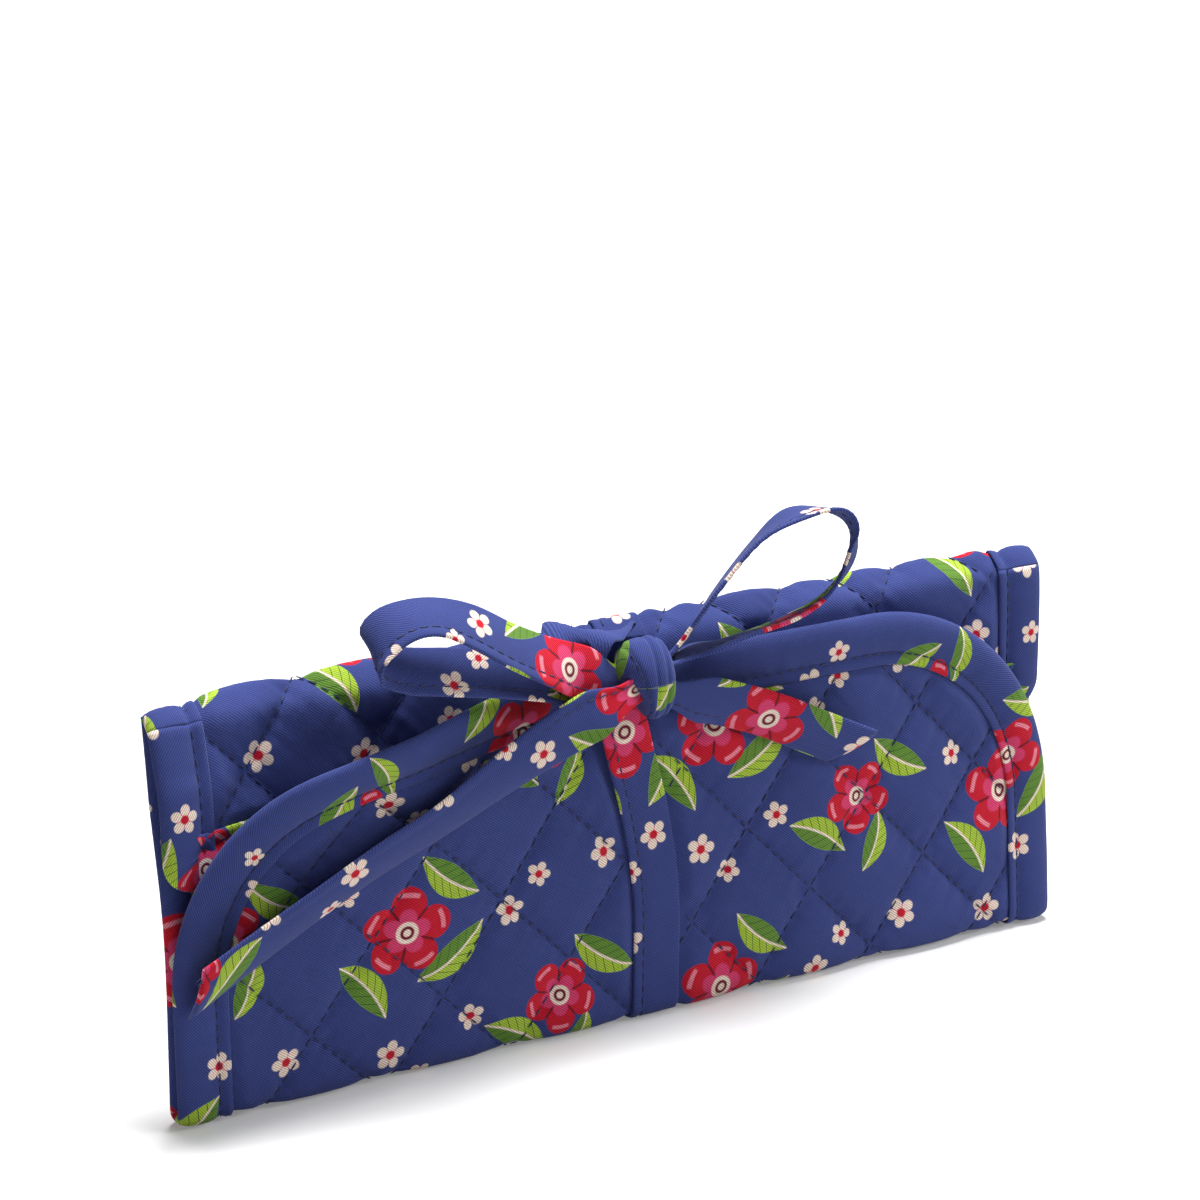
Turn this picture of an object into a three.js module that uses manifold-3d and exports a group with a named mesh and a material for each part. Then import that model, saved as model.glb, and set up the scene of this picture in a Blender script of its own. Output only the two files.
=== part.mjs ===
// A quilted cloth jewelry roll, closed and tied with a bow, standing on its bottom fold.
// Millimetres. +X runs along the roll, +Y to its back, +Z up. The origin is on the resting face,
// under the middle of the bottom fold.
//
// The roll is one quilted panel in five stretches: flap, base, back, top and leaf. Each stretch has
// its own frame: x along the roll, z from its lower fold line, y outward. y = 0 is the plane of the
// quilting stitches and holds the fold lines, so that each fold opens about a line on its outside.

import * as THREE from 'three';
import { mergeVertices } from 'three/addons/utils/BufferGeometryUtils.js';
import Module from 'manifold-3d';

const wasm = await Module();
wasm.setup();

// Overall sizes of the closed roll.
const ROLL_LENGTH = 240;
const BASE_DEPTH = 9.4;
const FLAP_HEIGHT = 88;
const BACK_HEIGHT = 95;
const LEAF_TIP = 56;
const FLAP_CORNER = 55;
const LEAF_CORNER = 8;
const FLAP_LEAN = THREE.MathUtils.degToRad(3);
const TOP_SLOPE = THREE.MathUtils.degToRad(35);

// Cloth layers and their clearances.
const QUILT = 1.0;
const PUFF = 1.0;
const LINING = 0.3;
const TAPE = 0.4;
const BINDING = 12.6;
const CLEAR = 0.2;
const FOLD_GAP = 0.3;
const SWING_ROOM = 2.4;
const BACK_ROOM = 0.8;
const CUTTER_OVERRUN = 1;

// Diamond quilting: the diagonals of a diamond, the turn of the pattern and one crossing on the flap.
const DIAMOND_ACROSS = 33.7;
const DIAMOND_UP = 39.6;
const DIAMOND_TURN = THREE.MathUtils.degToRad(3.2);
const DIAMOND_CROSSING = [19.6, 18.4];
const PUFF_SHOULDER = 0.6;
const PUFF_SHOULDER_RISE = 0.8;
const STITCH_RISE = 0.1;

// Tie and bow.
const TIE_WIDTH = 12.5;
const TIE_THICK = 0.6;
const TIE_X = 2;
const KNOT_SIZE = [17, 10, 20];
const KNOT_X = -1;
const KNOT_DROP = 2.4;
const KNOT_STANDOFF = 1.1;
const KNOT_BOXINESS = 0.6;
const KNOT_FULLNESS = 0.35;
const STUB_RISE = 4.7;
const TAIL_SLANT = 4;

// Zipped pockets.
const FLAP_ZIP = 16;
const BACK_ZIP = 33;
const POCKET_START = 5;
const POCKET_LAP = 4;
const POCKET_BELOW_LEAF = 3;
const BACK_FACING = 3.5;
const ZIP_CLOTH = 0.3;
const ZIP_TAPE = 5;
const ROW_WIDTH = 2;
const ROW_THICK = 1.2;
const ROW_GAP = 1.0;
const STOP_LENGTH = 3;
const SLIDER_LENGTH = 9;
const SLIDER_PLATE = 0.4;
const SLIDER_RIM = 0.5;
const SLIDER_POST = [3, 0.5];
const BAIL_FOOT = 1;
const BAIL_SPAN = 4.4;
const BAIL_BAR = 0.4;
const PULL_LENGTH = 14;
const PULL_WIDTH = 4;
const PULL_THICK = 0.5;

// Ring bar with its snap.
const RING_HEIGHT = 49;
const RING_DIAMETER = 4.4;
const RING_START = -42;
const RING_LENGTH = 72;
const RING_TAB = [16, 9];
const RING_TAB_CLOTH = 0.4;
const RING_TAB_MARGIN = 1;
const SNAP_DIAMETER = 8;
const SNAP_BASE = 0.6;
const SNAP_POST = [3, 1];
const SNAP_RING = 1;
const SNAP_CAP = 0.7;

// Depths inside the stitch plane, and heights outside it, that the layers reach.
const liningIn = QUILT + CLEAR + LINING;
const lipIn = liningIn + CLEAR + TAPE;
const lipOut = CLEAR + TAPE;
const skin = lipOut + CLEAR + TIE_THICK;
const halfLength = ROLL_LENGTH / 2;
const panelEdge = halfLength - TAPE - CLEAR;
const windowEdge = halfLength - BINDING - CLEAR;

// The leaf hangs parallel to the flap, far enough behind it to swing out; the back leans so that it
// clears the leaf's tip; the top strip slopes from the crease down to the leaf's plane.
const leafDepth = lipIn + SWING_ROOM + PUFF;
const backDepth = leafDepth + lipIn + BACK_ROOM + lipIn;
const flapRise = Math.tan(FLAP_LEAN);
const backRise = flapRise + (backDepth / Math.cos(FLAP_LEAN) - BASE_DEPTH) / LEAF_TIP;
const backLean = Math.atan(backRise);
const creaseY = BASE_DEPTH / 2 + BACK_HEIGHT * Math.sin(backLean);
const creaseZ = BACK_HEIGHT * Math.cos(backLean);
const leafPlaneY = -BASE_DEPTH / 2 + leafDepth / Math.cos(FLAP_LEAN);
const topDepth = (creaseY - leafPlaneY - creaseZ * flapRise)
  / (Math.cos(TOP_SLOPE) - Math.sin(TOP_SLOPE) * flapRise);
const leafLength = (creaseZ - topDepth * Math.sin(TOP_SLOPE) - LEAF_TIP) / Math.cos(FLAP_LEAN);

// Mitre of a fold's two ends: how far each layer draws back for each millimetre of depth.
const quarter = Math.PI / 2;
const mitre = (insideAngle) => 1 / Math.tan(insideAngle / 2);
const flapFold = mitre(quarter - FLAP_LEAN);
const backFold = mitre(quarter + backLean);
const topFold = mitre(quarter - TOP_SLOPE - backLean);
const leafFold = mitre(quarter + TOP_SLOPE + FLAP_LEAN);

const flap = { height: FLAP_HEIGHT, corner: FLAP_CORNER, low: flapFold, high: 0 };
const base = { height: BASE_DEPTH, low: flapFold, high: backFold };
const back = { height: BACK_HEIGHT, low: backFold, high: topFold };
const top = { height: topDepth, low: topFold, high: leafFold };
const leaf = { height: leafLength, corner: LEAF_CORNER, low: leafFold, high: 0 };

// Frames of the five stretches.
const roll = new THREE.Group();
roll.name = 'jewelry_roll';

function frame(parent, y, z, turnX, turnZ = 0) {
  const group = new THREE.Group();
  group.position.set(0, y, z);
  group.rotation.set(turnX, 0, turnZ);
  parent.add(group);
  return group;
}

const baseFrame = frame(roll, -BASE_DEPTH / 2, skin, -quarter);
const flapFrame = frame(roll, -BASE_DEPTH / 2, skin, -FLAP_LEAN, Math.PI);
const backFrame = frame(roll, BASE_DEPTH / 2, skin, -backLean);
const topFrame = frame(backFrame, 0, BACK_HEIGHT, quarter + TOP_SLOPE + backLean);
const leafFrame = frame(topFrame, 0, topDepth, quarter - TOP_SLOPE - FLAP_LEAN);

// Cloth, metal and thread colours.
const clothMaterial = (color, roughness = 0.9) => new THREE.MeshStandardMaterial({ color, roughness });
const navyPrint = clothMaterial(0x394374);
const navyBinding = clothMaterial(0x34406e);
const navyTie = clothMaterial(0x3a4678);
const liningCloth = clothMaterial(0x2f3963);
const zipCloth = clothMaterial(0x262f55);
const zipTeeth = clothMaterial(0x20284a, 0.5);
const padCloth = clothMaterial(0x8f2038);
const metal = new THREE.MeshStandardMaterial({ color: 0xb9b4aa, roughness: 0.3, metalness: 1 });

function add(parent, name, geometry, material) {
  const mesh = new THREE.Mesh(geometry, material);
  mesh.name = name;
  parent.add(mesh);
  return mesh;
}

// Joins and cuts on closed geometries.
function toSolid(geometry) {
  const bare = new THREE.BufferGeometry();
  bare.setAttribute('position', geometry.attributes.position.clone());
  bare.setIndex(geometry.index ? geometry.index.clone() : null);
  const merged = mergeVertices(bare, 1e-4);
  const vertProperties = new Float32Array(merged.attributes.position.array);
  const triVerts = new Uint32Array(merged.index.array);
  return new wasm.Manifold(new wasm.Mesh({ numProp: 3, vertProperties, triVerts }));
}

function toGeometry(solid) {
  const { vertProperties, triVerts } = solid.getMesh();
  const geometry = new THREE.BufferGeometry();
  geometry.setAttribute('position', new THREE.Float32BufferAttribute(vertProperties, 3));
  geometry.setIndex(Array.from(triVerts));
  geometry.computeVertexNormals();
  return geometry;
}

const combine = (step) => (first, ...others) =>
  toGeometry(others.map(toSolid).reduce((solid, other) => solid[step](other), toSolid(first)));
const join = combine('add');
const cut = combine('subtract');
const keep = combine('intersect');

// Solids from outlines. alongX pushes an outline of [y, z] points from x = from to x = to; throughY
// pushes a shape drawn in x and z from y = from to y = to.
const AXIS_X = new THREE.Vector3(1, 0, 0);
const AXIS_Y = new THREE.Vector3(0, 1, 0);
const AXIS_Z = new THREE.Vector3(0, 0, 1);

function alongX(outline, from, to) {
  const shape = new THREE.Shape(outline.map(([y, z]) => new THREE.Vector2(y, z)));
  const geometry = new THREE.ExtrudeGeometry(shape, { depth: to - from, bevelEnabled: false });
  geometry.applyMatrix4(new THREE.Matrix4().makeBasis(AXIS_Y, AXIS_Z, AXIS_X));
  return geometry.translate(from, 0, 0);
}

const CURVE_STEPS = 10;

function throughY(shape, from, to) {
  const settings = { depth: to - from, bevelEnabled: false, curveSegments: CURVE_STEPS };
  const geometry = new THREE.ExtrudeGeometry(shape, settings);
  geometry.applyMatrix4(new THREE.Matrix4().makeBasis(AXIS_X, AXIS_Z, AXIS_Y.clone().negate()));
  return geometry.translate(0, to, 0);
}

function block(xRange, yRange, zRange) {
  const size = [xRange, yRange, zRange].map(([low, high]) => high - low);
  const middle = [xRange, yRange, zRange].map(([low, high]) => (low + high) / 2);
  return new THREE.BoxGeometry(...size).translate(...middle);
}

const around = (middle, width) => [middle - width / 2, middle + width / 2];
const ordered = (one, other) => [Math.min(one, other), Math.max(one, other)];

// One cloth layer of a stretch, from height outer to height inner, as an outline in y and z. On the
// inside of a fold the ends are mitred, on the outside they are square. reach lengthens both ends.
function layer(stretch, outer, inner, reach = 0) {
  const lowEnd = (y) => FOLD_GAP - reach + stretch.low * Math.max(0, -y);
  const highEnd = (y) => stretch.height - FOLD_GAP + reach - stretch.high * Math.max(0, -y);
  const levels = outer > 0 && inner < 0 ? [outer, 0, inner] : [outer, inner];
  const rising = levels.map((y) => [y, lowEnd(y)]);
  const falling = levels.map((y) => [y, highEnd(y)]).reverse();
  return [...rising, ...falling];
}

// The quilting: a blanket of diamond puffs, each with a shoulder and a crown, sewn flat at its edges.
function puffBlanket() {
  const halfAcross = DIAMOND_ACROSS / 2;
  const halfUp = DIAMOND_UP / 2;
  const cos = Math.cos(DIAMOND_TURN);
  const sin = Math.sin(DIAMOND_TURN);
  const positions = [];
  const index = [];
  const known = new Map();
  const vertex = (across, up, y) => {
    const key = `${across.toFixed(4)} ${up.toFixed(4)} ${y.toFixed(4)}`;
    if (!known.has(key)) {
      known.set(key, positions.length / 3);
      const x = DIAMOND_CROSSING[0] + across * cos - up * sin;
      const z = DIAMOND_CROSSING[1] + across * sin + up * cos;
      positions.push(x, y, z);
    }
    return known.get(key);
  };
  const edges = new Map();
  const floor = -QUILT / 2;
  const columns = Math.ceil(ROLL_LENGTH / halfAcross);
  const rows = Math.ceil((2 * BACK_HEIGHT) / halfUp);
  for (let column = -columns; column <= columns; column += 1) {
    for (let row = -rows; row <= rows; row += 1) {
      if ((column + row) % 2 === 0) continue;
      const [x, z] = [column * halfAcross, row * halfUp];
      const corners = [[1, 0], [0, 1], [-1, 0], [0, -1]];
      const ring = (share, y) => corners.map(
        ([i, j]) => vertex(x + i * share * halfAcross, z + j * share * halfUp, y),
      );
      const sewn = ring(1, STITCH_RISE);
      const shoulder = ring(PUFF_SHOULDER, PUFF * PUFF_SHOULDER_RISE);
      const under = ring(1, floor);
      const crown = vertex(x, z, PUFF);
      for (let side = 0; side < 4; side += 1) {
        const next = (side + 1) % 4;
        index.push(sewn[side], shoulder[side], shoulder[next]);
        index.push(sewn[side], shoulder[next], sewn[next]);
        index.push(shoulder[side], crown, shoulder[next]);
        const edge = [sewn[side], sewn[next], under[side], under[next]];
        const twin = `${sewn[next]} ${sewn[side]}`;
        if (edges.has(twin)) edges.delete(twin);
        else edges.set(`${sewn[side]} ${sewn[next]}`, edge);
      }
      index.push(under[0], under[1], under[2], under[0], under[2], under[3]);
    }
  }
  for (const [a, b, c, d] of edges.values()) index.push(a, b, c, b, d, c);
  const geometry = new THREE.BufferGeometry();
  geometry.setAttribute('position', new THREE.Float32BufferAttribute(positions, 3));
  geometry.setIndex(index);
  return geometry;
}

const blanket = puffBlanket();

// The tie presses the puffs flat along its run. flipped is for the flap, whose x runs the other way.
function tieGroove(flipped) {
  const middle = flipped ? -TIE_X : TIE_X;
  return block(around(middle, TIE_WIDTH + 2 * CLEAR), [lipOut, skin + PUFF], [-ROLL_LENGTH, ROLL_LENGTH]);
}

// Stretches between two folds: quilted cloth, lining and a folded binding on each end.
function addStrip(parent, name, stretch, puffed) {
  const plate = alongX(layer(stretch, 0, -QUILT), -panelEdge, panelEdge);
  const window = alongX(layer(stretch, 2 * PUFF, -QUILT), -windowEdge, windowEdge);
  const puffs = () => cut(keep(blanket, window), tieGroove(false));
  const quilt = puffed ? join(plate, puffs()) : standingQuilt(stretch, plate);
  add(parent, `${name}_quilt`, quilt, navyPrint);
  const lining = alongX(layer(stretch, -QUILT - CLEAR, -liningIn), -panelEdge, panelEdge);
  add(parent, `${name}_lining`, lining, liningCloth);
  for (const [side, sign] of [['left', -1], ['right', 1]]) {
    const span = ordered(sign * (halfLength - BINDING), sign * halfLength);
    const slotSpan = ordered(sign * (halfLength - BINDING - CUTTER_OVERRUN), sign * (halfLength - TAPE));
    const folded = alongX(layer(stretch, lipOut, -lipIn), ...span);
    const slot = alongX(layer(stretch, CLEAR, -liningIn - CLEAR, CUTTER_OVERRUN), ...slotSpan);
    add(parent, `${name}_binding_${side}`, cut(folded, slot), navyBinding);
  }
}

// The base stands on a flat underside, with a groove for the tie.
function standingQuilt(stretch, plate) {
  const sole = alongX(layer(stretch, skin, -QUILT), -windowEdge, windowEdge);
  return cut(join(plate, sole), tieGroove(false));
}

// Stretches that end in two rounded corners: the binding runs round the whole free edge. Their
// outlines start below the fold and are trimmed to its mitre.
const BELOW_FOLD = 30;
const TRIM_DEPTH = 10;

function endOutline(stretch, inset) {
  const half = halfLength - inset;
  const high = stretch.height - inset;
  const radius = Math.max(stretch.corner - inset, CLEAR);
  const shape = new THREE.Shape();
  shape.moveTo(-half, -BELOW_FOLD);
  shape.lineTo(half, -BELOW_FOLD);
  shape.absarc(half - radius, high - radius, radius, 0, quarter, false);
  shape.absarc(-half + radius, high - radius, radius, quarter, Math.PI, false);
  return shape;
}

function foldTrim(stretch) {
  const outline = [
    [TRIM_DEPTH, -2 * BELOW_FOLD], [TRIM_DEPTH, FOLD_GAP], [0, FOLD_GAP],
    [-TRIM_DEPTH, FOLD_GAP + TRIM_DEPTH * stretch.low], [-TRIM_DEPTH, -2 * BELOW_FOLD],
  ];
  return alongX(outline, -ROLL_LENGTH, ROLL_LENGTH);
}

function addEnd(parent, name, stretch, grooves) {
  const trim = foldTrim(stretch);
  const plate = throughY(endOutline(stretch, TAPE + CLEAR), -QUILT, 0);
  const window = throughY(endOutline(stretch, BINDING + CLEAR), -QUILT, 2 * PUFF);
  const quilt = cut(join(plate, cut(keep(blanket, window), ...grooves)), trim);
  add(parent, `${name}_quilt`, quilt, navyPrint);
  const lining = throughY(endOutline(stretch, TAPE + CLEAR), -liningIn, -QUILT - CLEAR);
  add(parent, `${name}_lining`, cut(lining, trim), liningCloth);
  const folded = throughY(endOutline(stretch, 0), -lipIn, lipOut);
  const slot = throughY(endOutline(stretch, TAPE), -liningIn - CLEAR, CLEAR);
  const opening = throughY(endOutline(stretch, BINDING), -2 * lipIn, 2 * skin);
  add(parent, `${name}_binding`, cut(folded, slot, opening, trim), navyBinding);
}

addStrip(baseFrame, 'base', base, false);
addStrip(backFrame, 'back', back, true);
addStrip(topFrame, 'top', top, true);
addEnd(flapFrame, 'flap', flap, [tieGroove(true)]);
addEnd(leafFrame, 'leaf', leaf, []);

// Zippers lie along x inside a stretch: depths are counted inward from the stitch plane.
const plateDepth = liningIn + CLEAR;
const rowDepth = plateDepth + SLIDER_PLATE + CLEAR;
const tapeDepth = rowDepth + (ROW_THICK - ZIP_CLOTH) / 2;
const topPlateDepth = rowDepth + ROW_THICK + CLEAR;
const pullDepth = topPlateDepth + SLIDER_PLATE + CLEAR;
const barDepth = pullDepth + PULL_THICK + CLEAR;
const inward = (depth, thick) => [-depth - thick, -depth];
const rowEdge = ROW_GAP / 2 + ROW_WIDTH;
const tapeStart = rowEdge + CLEAR;
const zipEdge = tapeStart + ZIP_TAPE;
const chainEnd = windowEdge - STOP_LENGTH - CLEAR;
const sliderRest = chainEnd - SLIDER_LENGTH;
const pocketEdge = windowEdge + POCKET_LAP;

function addZipper(parent, name, height) {
  const spans = { upper: 1, lower: -1 };
  for (const [side, sign] of Object.entries(spans)) {
    const band = (from, to) => ordered(height + sign * from, height + sign * to);
    const tape = block([-windowEdge, windowEdge], inward(tapeDepth, ZIP_CLOTH), band(tapeStart, zipEdge));
    add(parent, `${name}_zip_tape_${side}`, tape, zipCloth);
    const row = block([-chainEnd, chainEnd], inward(rowDepth, ROW_THICK), band(ROW_GAP / 2, rowEdge));
    add(parent, `${name}_zip_teeth_${side}`, row, zipTeeth);
  }
  for (const [end, sign] of [['closed', 1], ['open', -1]]) {
    const span = ordered(sign * (chainEnd + CLEAR), sign * windowEdge);
    const stop = block(span, inward(rowDepth, ROW_THICK), around(height, 2 * rowEdge));
    add(parent, `${name}_zip_stop_${end}`, stop, metal);
  }
  const halfSlider = SLIDER_LENGTH / 2;
  const sliderX = [sliderRest - halfSlider, sliderRest + halfSlider];
  const sliderZ = around(height, 2 * (tapeStart + SLIDER_RIM));
  const under = block(sliderX, inward(plateDepth, SLIDER_PLATE), sliderZ);
  const over = block(sliderX, inward(topPlateDepth, SLIDER_PLATE), sliderZ);
  const postX = [sliderX[1] - SLIDER_POST[0], sliderX[1]];
  const postRise = topPlateDepth + SLIDER_PLATE - plateDepth;
  const post = block(postX, inward(plateDepth, postRise), around(height, SLIDER_POST[1]));
  const feet = [-1, 1].map((sign) => block(
    around(sliderRest + (sign * BAIL_SPAN) / 2, BAIL_FOOT),
    inward(topPlateDepth, barDepth + BAIL_BAR - topPlateDepth),
    around(height, BAIL_FOOT),
  ));
  const barX = around(sliderRest, BAIL_SPAN + BAIL_FOOT);
  const bar = block(barX, inward(barDepth, BAIL_BAR), around(height, BAIL_FOOT));
  add(parent, `${name}_zip_slider`, join(under, post, over, ...feet, bar), metal);

  const eye = sliderRest - BAIL_SPAN / 2;
  const halfPull = PULL_WIDTH / 2;
  const tab = new THREE.Shape();
  tab.absarc(0, 0, halfPull, 0, Math.PI, false);
  tab.absarc(0, 2 * halfPull - PULL_LENGTH, halfPull, Math.PI, 2 * Math.PI, false);
  const hole = new THREE.Path();
  hole.absarc(0, 0, (BAIL_FOOT * Math.SQRT2) / 2 + CLEAR, 0, 2 * Math.PI, true);
  tab.holes.push(hole);
  const pull = throughY(tab, ...inward(pullDepth, PULL_THICK)).translate(eye, 0, height);
  add(parent, `${name}_zip_pull`, pull, metal);
}

// A pocket: a cloth panel on one side of its zipper and a facing strip on the other, sewn over the
// inner lip of the binding at their ends.
const strip = (from, to) => block([-pocketEdge, pocketEdge], inward(tapeDepth, ZIP_CLOTH), [from, to]);

add(flapFrame, 'flap_pocket_facing', strip(POCKET_START, FLAP_ZIP - zipEdge - CLEAR), liningCloth);
const flapPocketTop = LEAF_TIP - POCKET_BELOW_LEAF;
add(flapFrame, 'flap_pocket', strip(FLAP_ZIP + zipEdge + CLEAR, flapPocketTop), liningCloth);
addZipper(flapFrame, 'flap', FLAP_ZIP);

add(backFrame, 'back_pocket', strip(POCKET_START, BACK_ZIP - zipEdge - CLEAR), liningCloth);
const facingStart = BACK_ZIP + zipEdge + CLEAR;
add(backFrame, 'back_pocket_facing', strip(facingStart, facingStart + BACK_FACING), liningCloth);
addZipper(backFrame, 'back', BACK_ZIP);

// Ring bar: a stuffed cloth tube on the back's lining, sewn at one end to an anchor tab. The snap on
// the tab at its other end holds it down.
const ringDepth = liningIn + CLEAR + RING_DIAMETER / 2;
const ringEnd = RING_START + RING_LENGTH;
const snapX = ringEnd + CLEAR + RING_TAB[0] - SNAP_DIAMETER / 2 - RING_TAB_MARGIN;
const studDepth = liningIn + CLEAR;
const socketDepth = studDepth + SNAP_BASE + CLEAR;
const tabDepth = socketDepth + SNAP_RING + CLEAR;
const capDepth = tabDepth + RING_TAB_CLOTH + CLEAR;
const RING_SIDES = 12;

const ringTube = new THREE.CylinderGeometry(RING_DIAMETER / 2, RING_DIAMETER / 2, RING_LENGTH, RING_SIDES);
ringTube.rotateZ(quarter).translate(RING_START + RING_LENGTH / 2, -ringDepth, RING_HEIGHT);
add(backFrame, 'ring_bar', ringTube, padCloth);

function ringTab(from, depth) {
  const [length, width] = RING_TAB;
  return block([from, from + length], inward(depth, RING_TAB_CLOTH), around(RING_HEIGHT, width));
}
add(backFrame, 'ring_bar_anchor', ringTab(RING_START - CLEAR - RING_TAB[0], studDepth), padCloth);
add(backFrame, 'ring_bar_tab', ringTab(ringEnd + CLEAR, tabDepth), padCloth);

// A turned metal piece on the snap's axis: the outline's radii and depths, from the outside in.
const SNAP_SIDES = 16;
function turned(outline) {
  const points = outline.map(([radius, depth]) => new THREE.Vector2(radius, -depth));
  const geometry = new THREE.LatheGeometry(points, SNAP_SIDES).translate(snapX, 0, RING_HEIGHT);
  return toGeometry(toSolid(geometry));
}
const snapRadius = SNAP_DIAMETER / 2;
const postRadius = SNAP_POST[0] / 2;
const postTop = studDepth + SNAP_BASE + SNAP_POST[1];
const studFoot = studDepth + SNAP_BASE;
const stud = [
  [0, postTop], [postRadius, postTop], [postRadius, studFoot],
  [snapRadius, studFoot], [snapRadius, studDepth], [0, studDepth],
];
add(backFrame, 'snap_stud', turned(stud), metal);
const socketHole = postRadius + CLEAR;
const socketTop = socketDepth + SNAP_RING;
const socket = [
  [socketHole, socketTop], [snapRadius, socketTop],
  [snapRadius, socketDepth], [socketHole, socketDepth], [socketHole, socketTop],
];
add(backFrame, 'snap_socket', turned(socket), metal);
const capTop = capDepth + SNAP_CAP;
const cap = [[0, capTop], [snapRadius - SNAP_CAP, capTop], [snapRadius, capDepth], [0, capDepth]];
add(backFrame, 'snap_cap', turned(cap), metal);

// Tie: four flat runs round the roll, and a stub from the top strip forward to the knot.
const tieLevel = [lipOut + CLEAR, skin];
const tieRun = (middle, from, to) => block(around(middle, TIE_WIDTH), tieLevel, [from, to]);
add(flapFrame, 'tie_front', tieRun(-TIE_X, FOLD_GAP, FLAP_HEIGHT - CLEAR), navyTie);
add(baseFrame, 'tie_under', tieRun(TIE_X, FOLD_GAP, BASE_DEPTH - FOLD_GAP), navyTie);
add(backFrame, 'tie_back', tieRun(TIE_X, FOLD_GAP, BACK_HEIGHT - FOLD_GAP), navyTie);
add(topFrame, 'tie_top', tieRun(TIE_X, FOLD_GAP, topDepth - FOLD_GAP), navyTie);

// The bow has its own frame at the middle of the knot, which stands off the flap and leans with it.
const knotUp = FLAP_HEIGHT - KNOT_DROP;
const knotOut = skin + KNOT_STANDOFF + KNOT_SIZE[1] / 2;
const knotY = -BASE_DEPTH / 2 + knotUp * Math.sin(FLAP_LEAN) - knotOut * Math.cos(FLAP_LEAN);
const knotZ = skin + knotUp * Math.cos(FLAP_LEAN) + knotOut * Math.sin(FLAP_LEAN);
const bowFrame = frame(roll, knotY, knotZ, -FLAP_LEAN);
bowFrame.position.x = KNOT_X;

// From the knot the stub runs back over the flap's tip and then on to the top strip.
const leafFoldY = creaseY - topDepth * Math.cos(TOP_SLOPE);
const leafFoldZ = skin + creaseZ - topDepth * Math.sin(TOP_SLOPE);
const stubRear = leafFoldY - skin * Math.sin(TOP_SLOPE) - CLEAR;
const stubRearZ = leafFoldZ + skin * Math.cos(TOP_SLOPE);
const stubFront = knotY + KNOT_SIZE[1] / 2 + CLEAR;
const stubZ = knotZ + STUB_RISE;
const flapTipBack = -BASE_DEPTH / 2 + FLAP_HEIGHT * Math.sin(FLAP_LEAN) + lipIn + CLEAR;
const stubLine = [[stubRear, stubRearZ], [flapTipBack, stubZ], [stubFront, stubZ]];
const stubUnder = stubLine.map(([y, z]) => [y, z - TIE_THICK]).reverse();
const stubOutline = [...stubUnder, ...stubLine];
add(roll, 'tie_over_flap', alongX(stubOutline, ...around(TIE_X, TIE_WIDTH)), navyTie);

// Knot: a boxy rounded lump of cloth on the flap's tip.
const KNOT_SIDES = 16;
const KNOT_RINGS = 10;
const boxy = (value) => Math.sign(value) * Math.abs(value) ** KNOT_BOXINESS;
const lump = new THREE.SphereGeometry(1, KNOT_SIDES, KNOT_RINGS);
const lumpPoints = lump.attributes.position;
for (let i = 0; i < lumpPoints.count; i += 1) {
  const unit = [lumpPoints.getX(i), lumpPoints.getY(i), lumpPoints.getZ(i)].map(boxy);
  const swell = Math.hypot(...unit) ** KNOT_FULLNESS;
  lumpPoints.setXYZ(i, ...unit.map((value, axis) => ((value / swell) * KNOT_SIZE[axis]) / 2));
}
add(bowFrame, 'bow_knot', toGeometry(toSolid(lump)), navyTie);

// Free stretches of the bow. Each point of a route is a place, counted from the knot's middle, and the
// direction of the tie's width there. A tail's end is cut on a slant.
const STEPS_BETWEEN = 3;

function ribbon(route, slant = 0) {
  const path = new THREE.CatmullRomCurve3(route.map(([x, y, z]) => new THREE.Vector3(x, y, z)));
  const across = new THREE.CatmullRomCurve3(route.map(([, , , x, y, z]) => new THREE.Vector3(x, y, z)));
  const steps = STEPS_BETWEEN * (route.length - 1);
  const positions = [];
  const index = [];
  for (let step = 0; step <= steps; step += 1) {
    const share = step / steps;
    const place = path.getPoint(share);
    const along = path.getTangent(share);
    const width = across.getPoint(share);
    width.addScaledVector(along, -width.dot(along)).setLength(TIE_WIDTH / 2);
    const thick = along.clone().cross(width).setLength(TIE_THICK / 2);
    const skew = step === steps ? slant : 0;
    for (const [i, j] of [[1, 1], [-1, 1], [-1, -1], [1, -1]]) {
      const edge = place.clone().addScaledVector(width, i).addScaledVector(along, i * skew);
      positions.push(...edge.addScaledVector(thick, j).toArray());
    }
    if (step === 0) continue;
    for (let side = 0; side < 4; side += 1) {
      const [a, b] = [4 * (step - 1) + side, 4 * (step - 1) + ((side + 1) % 4)];
      index.push(a, b, a + 4, b, b + 4, a + 4);
    }
  }
  const last = 4 * steps;
  index.push(0, 2, 1, 0, 3, 2, last, last + 1, last + 2, last, last + 2, last + 3);
  const geometry = new THREE.BufferGeometry();
  geometry.setAttribute('position', new THREE.Float32BufferAttribute(positions, 3));
  geometry.setIndex(index);
  geometry.computeVertexNormals();
  return geometry;
}

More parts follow.
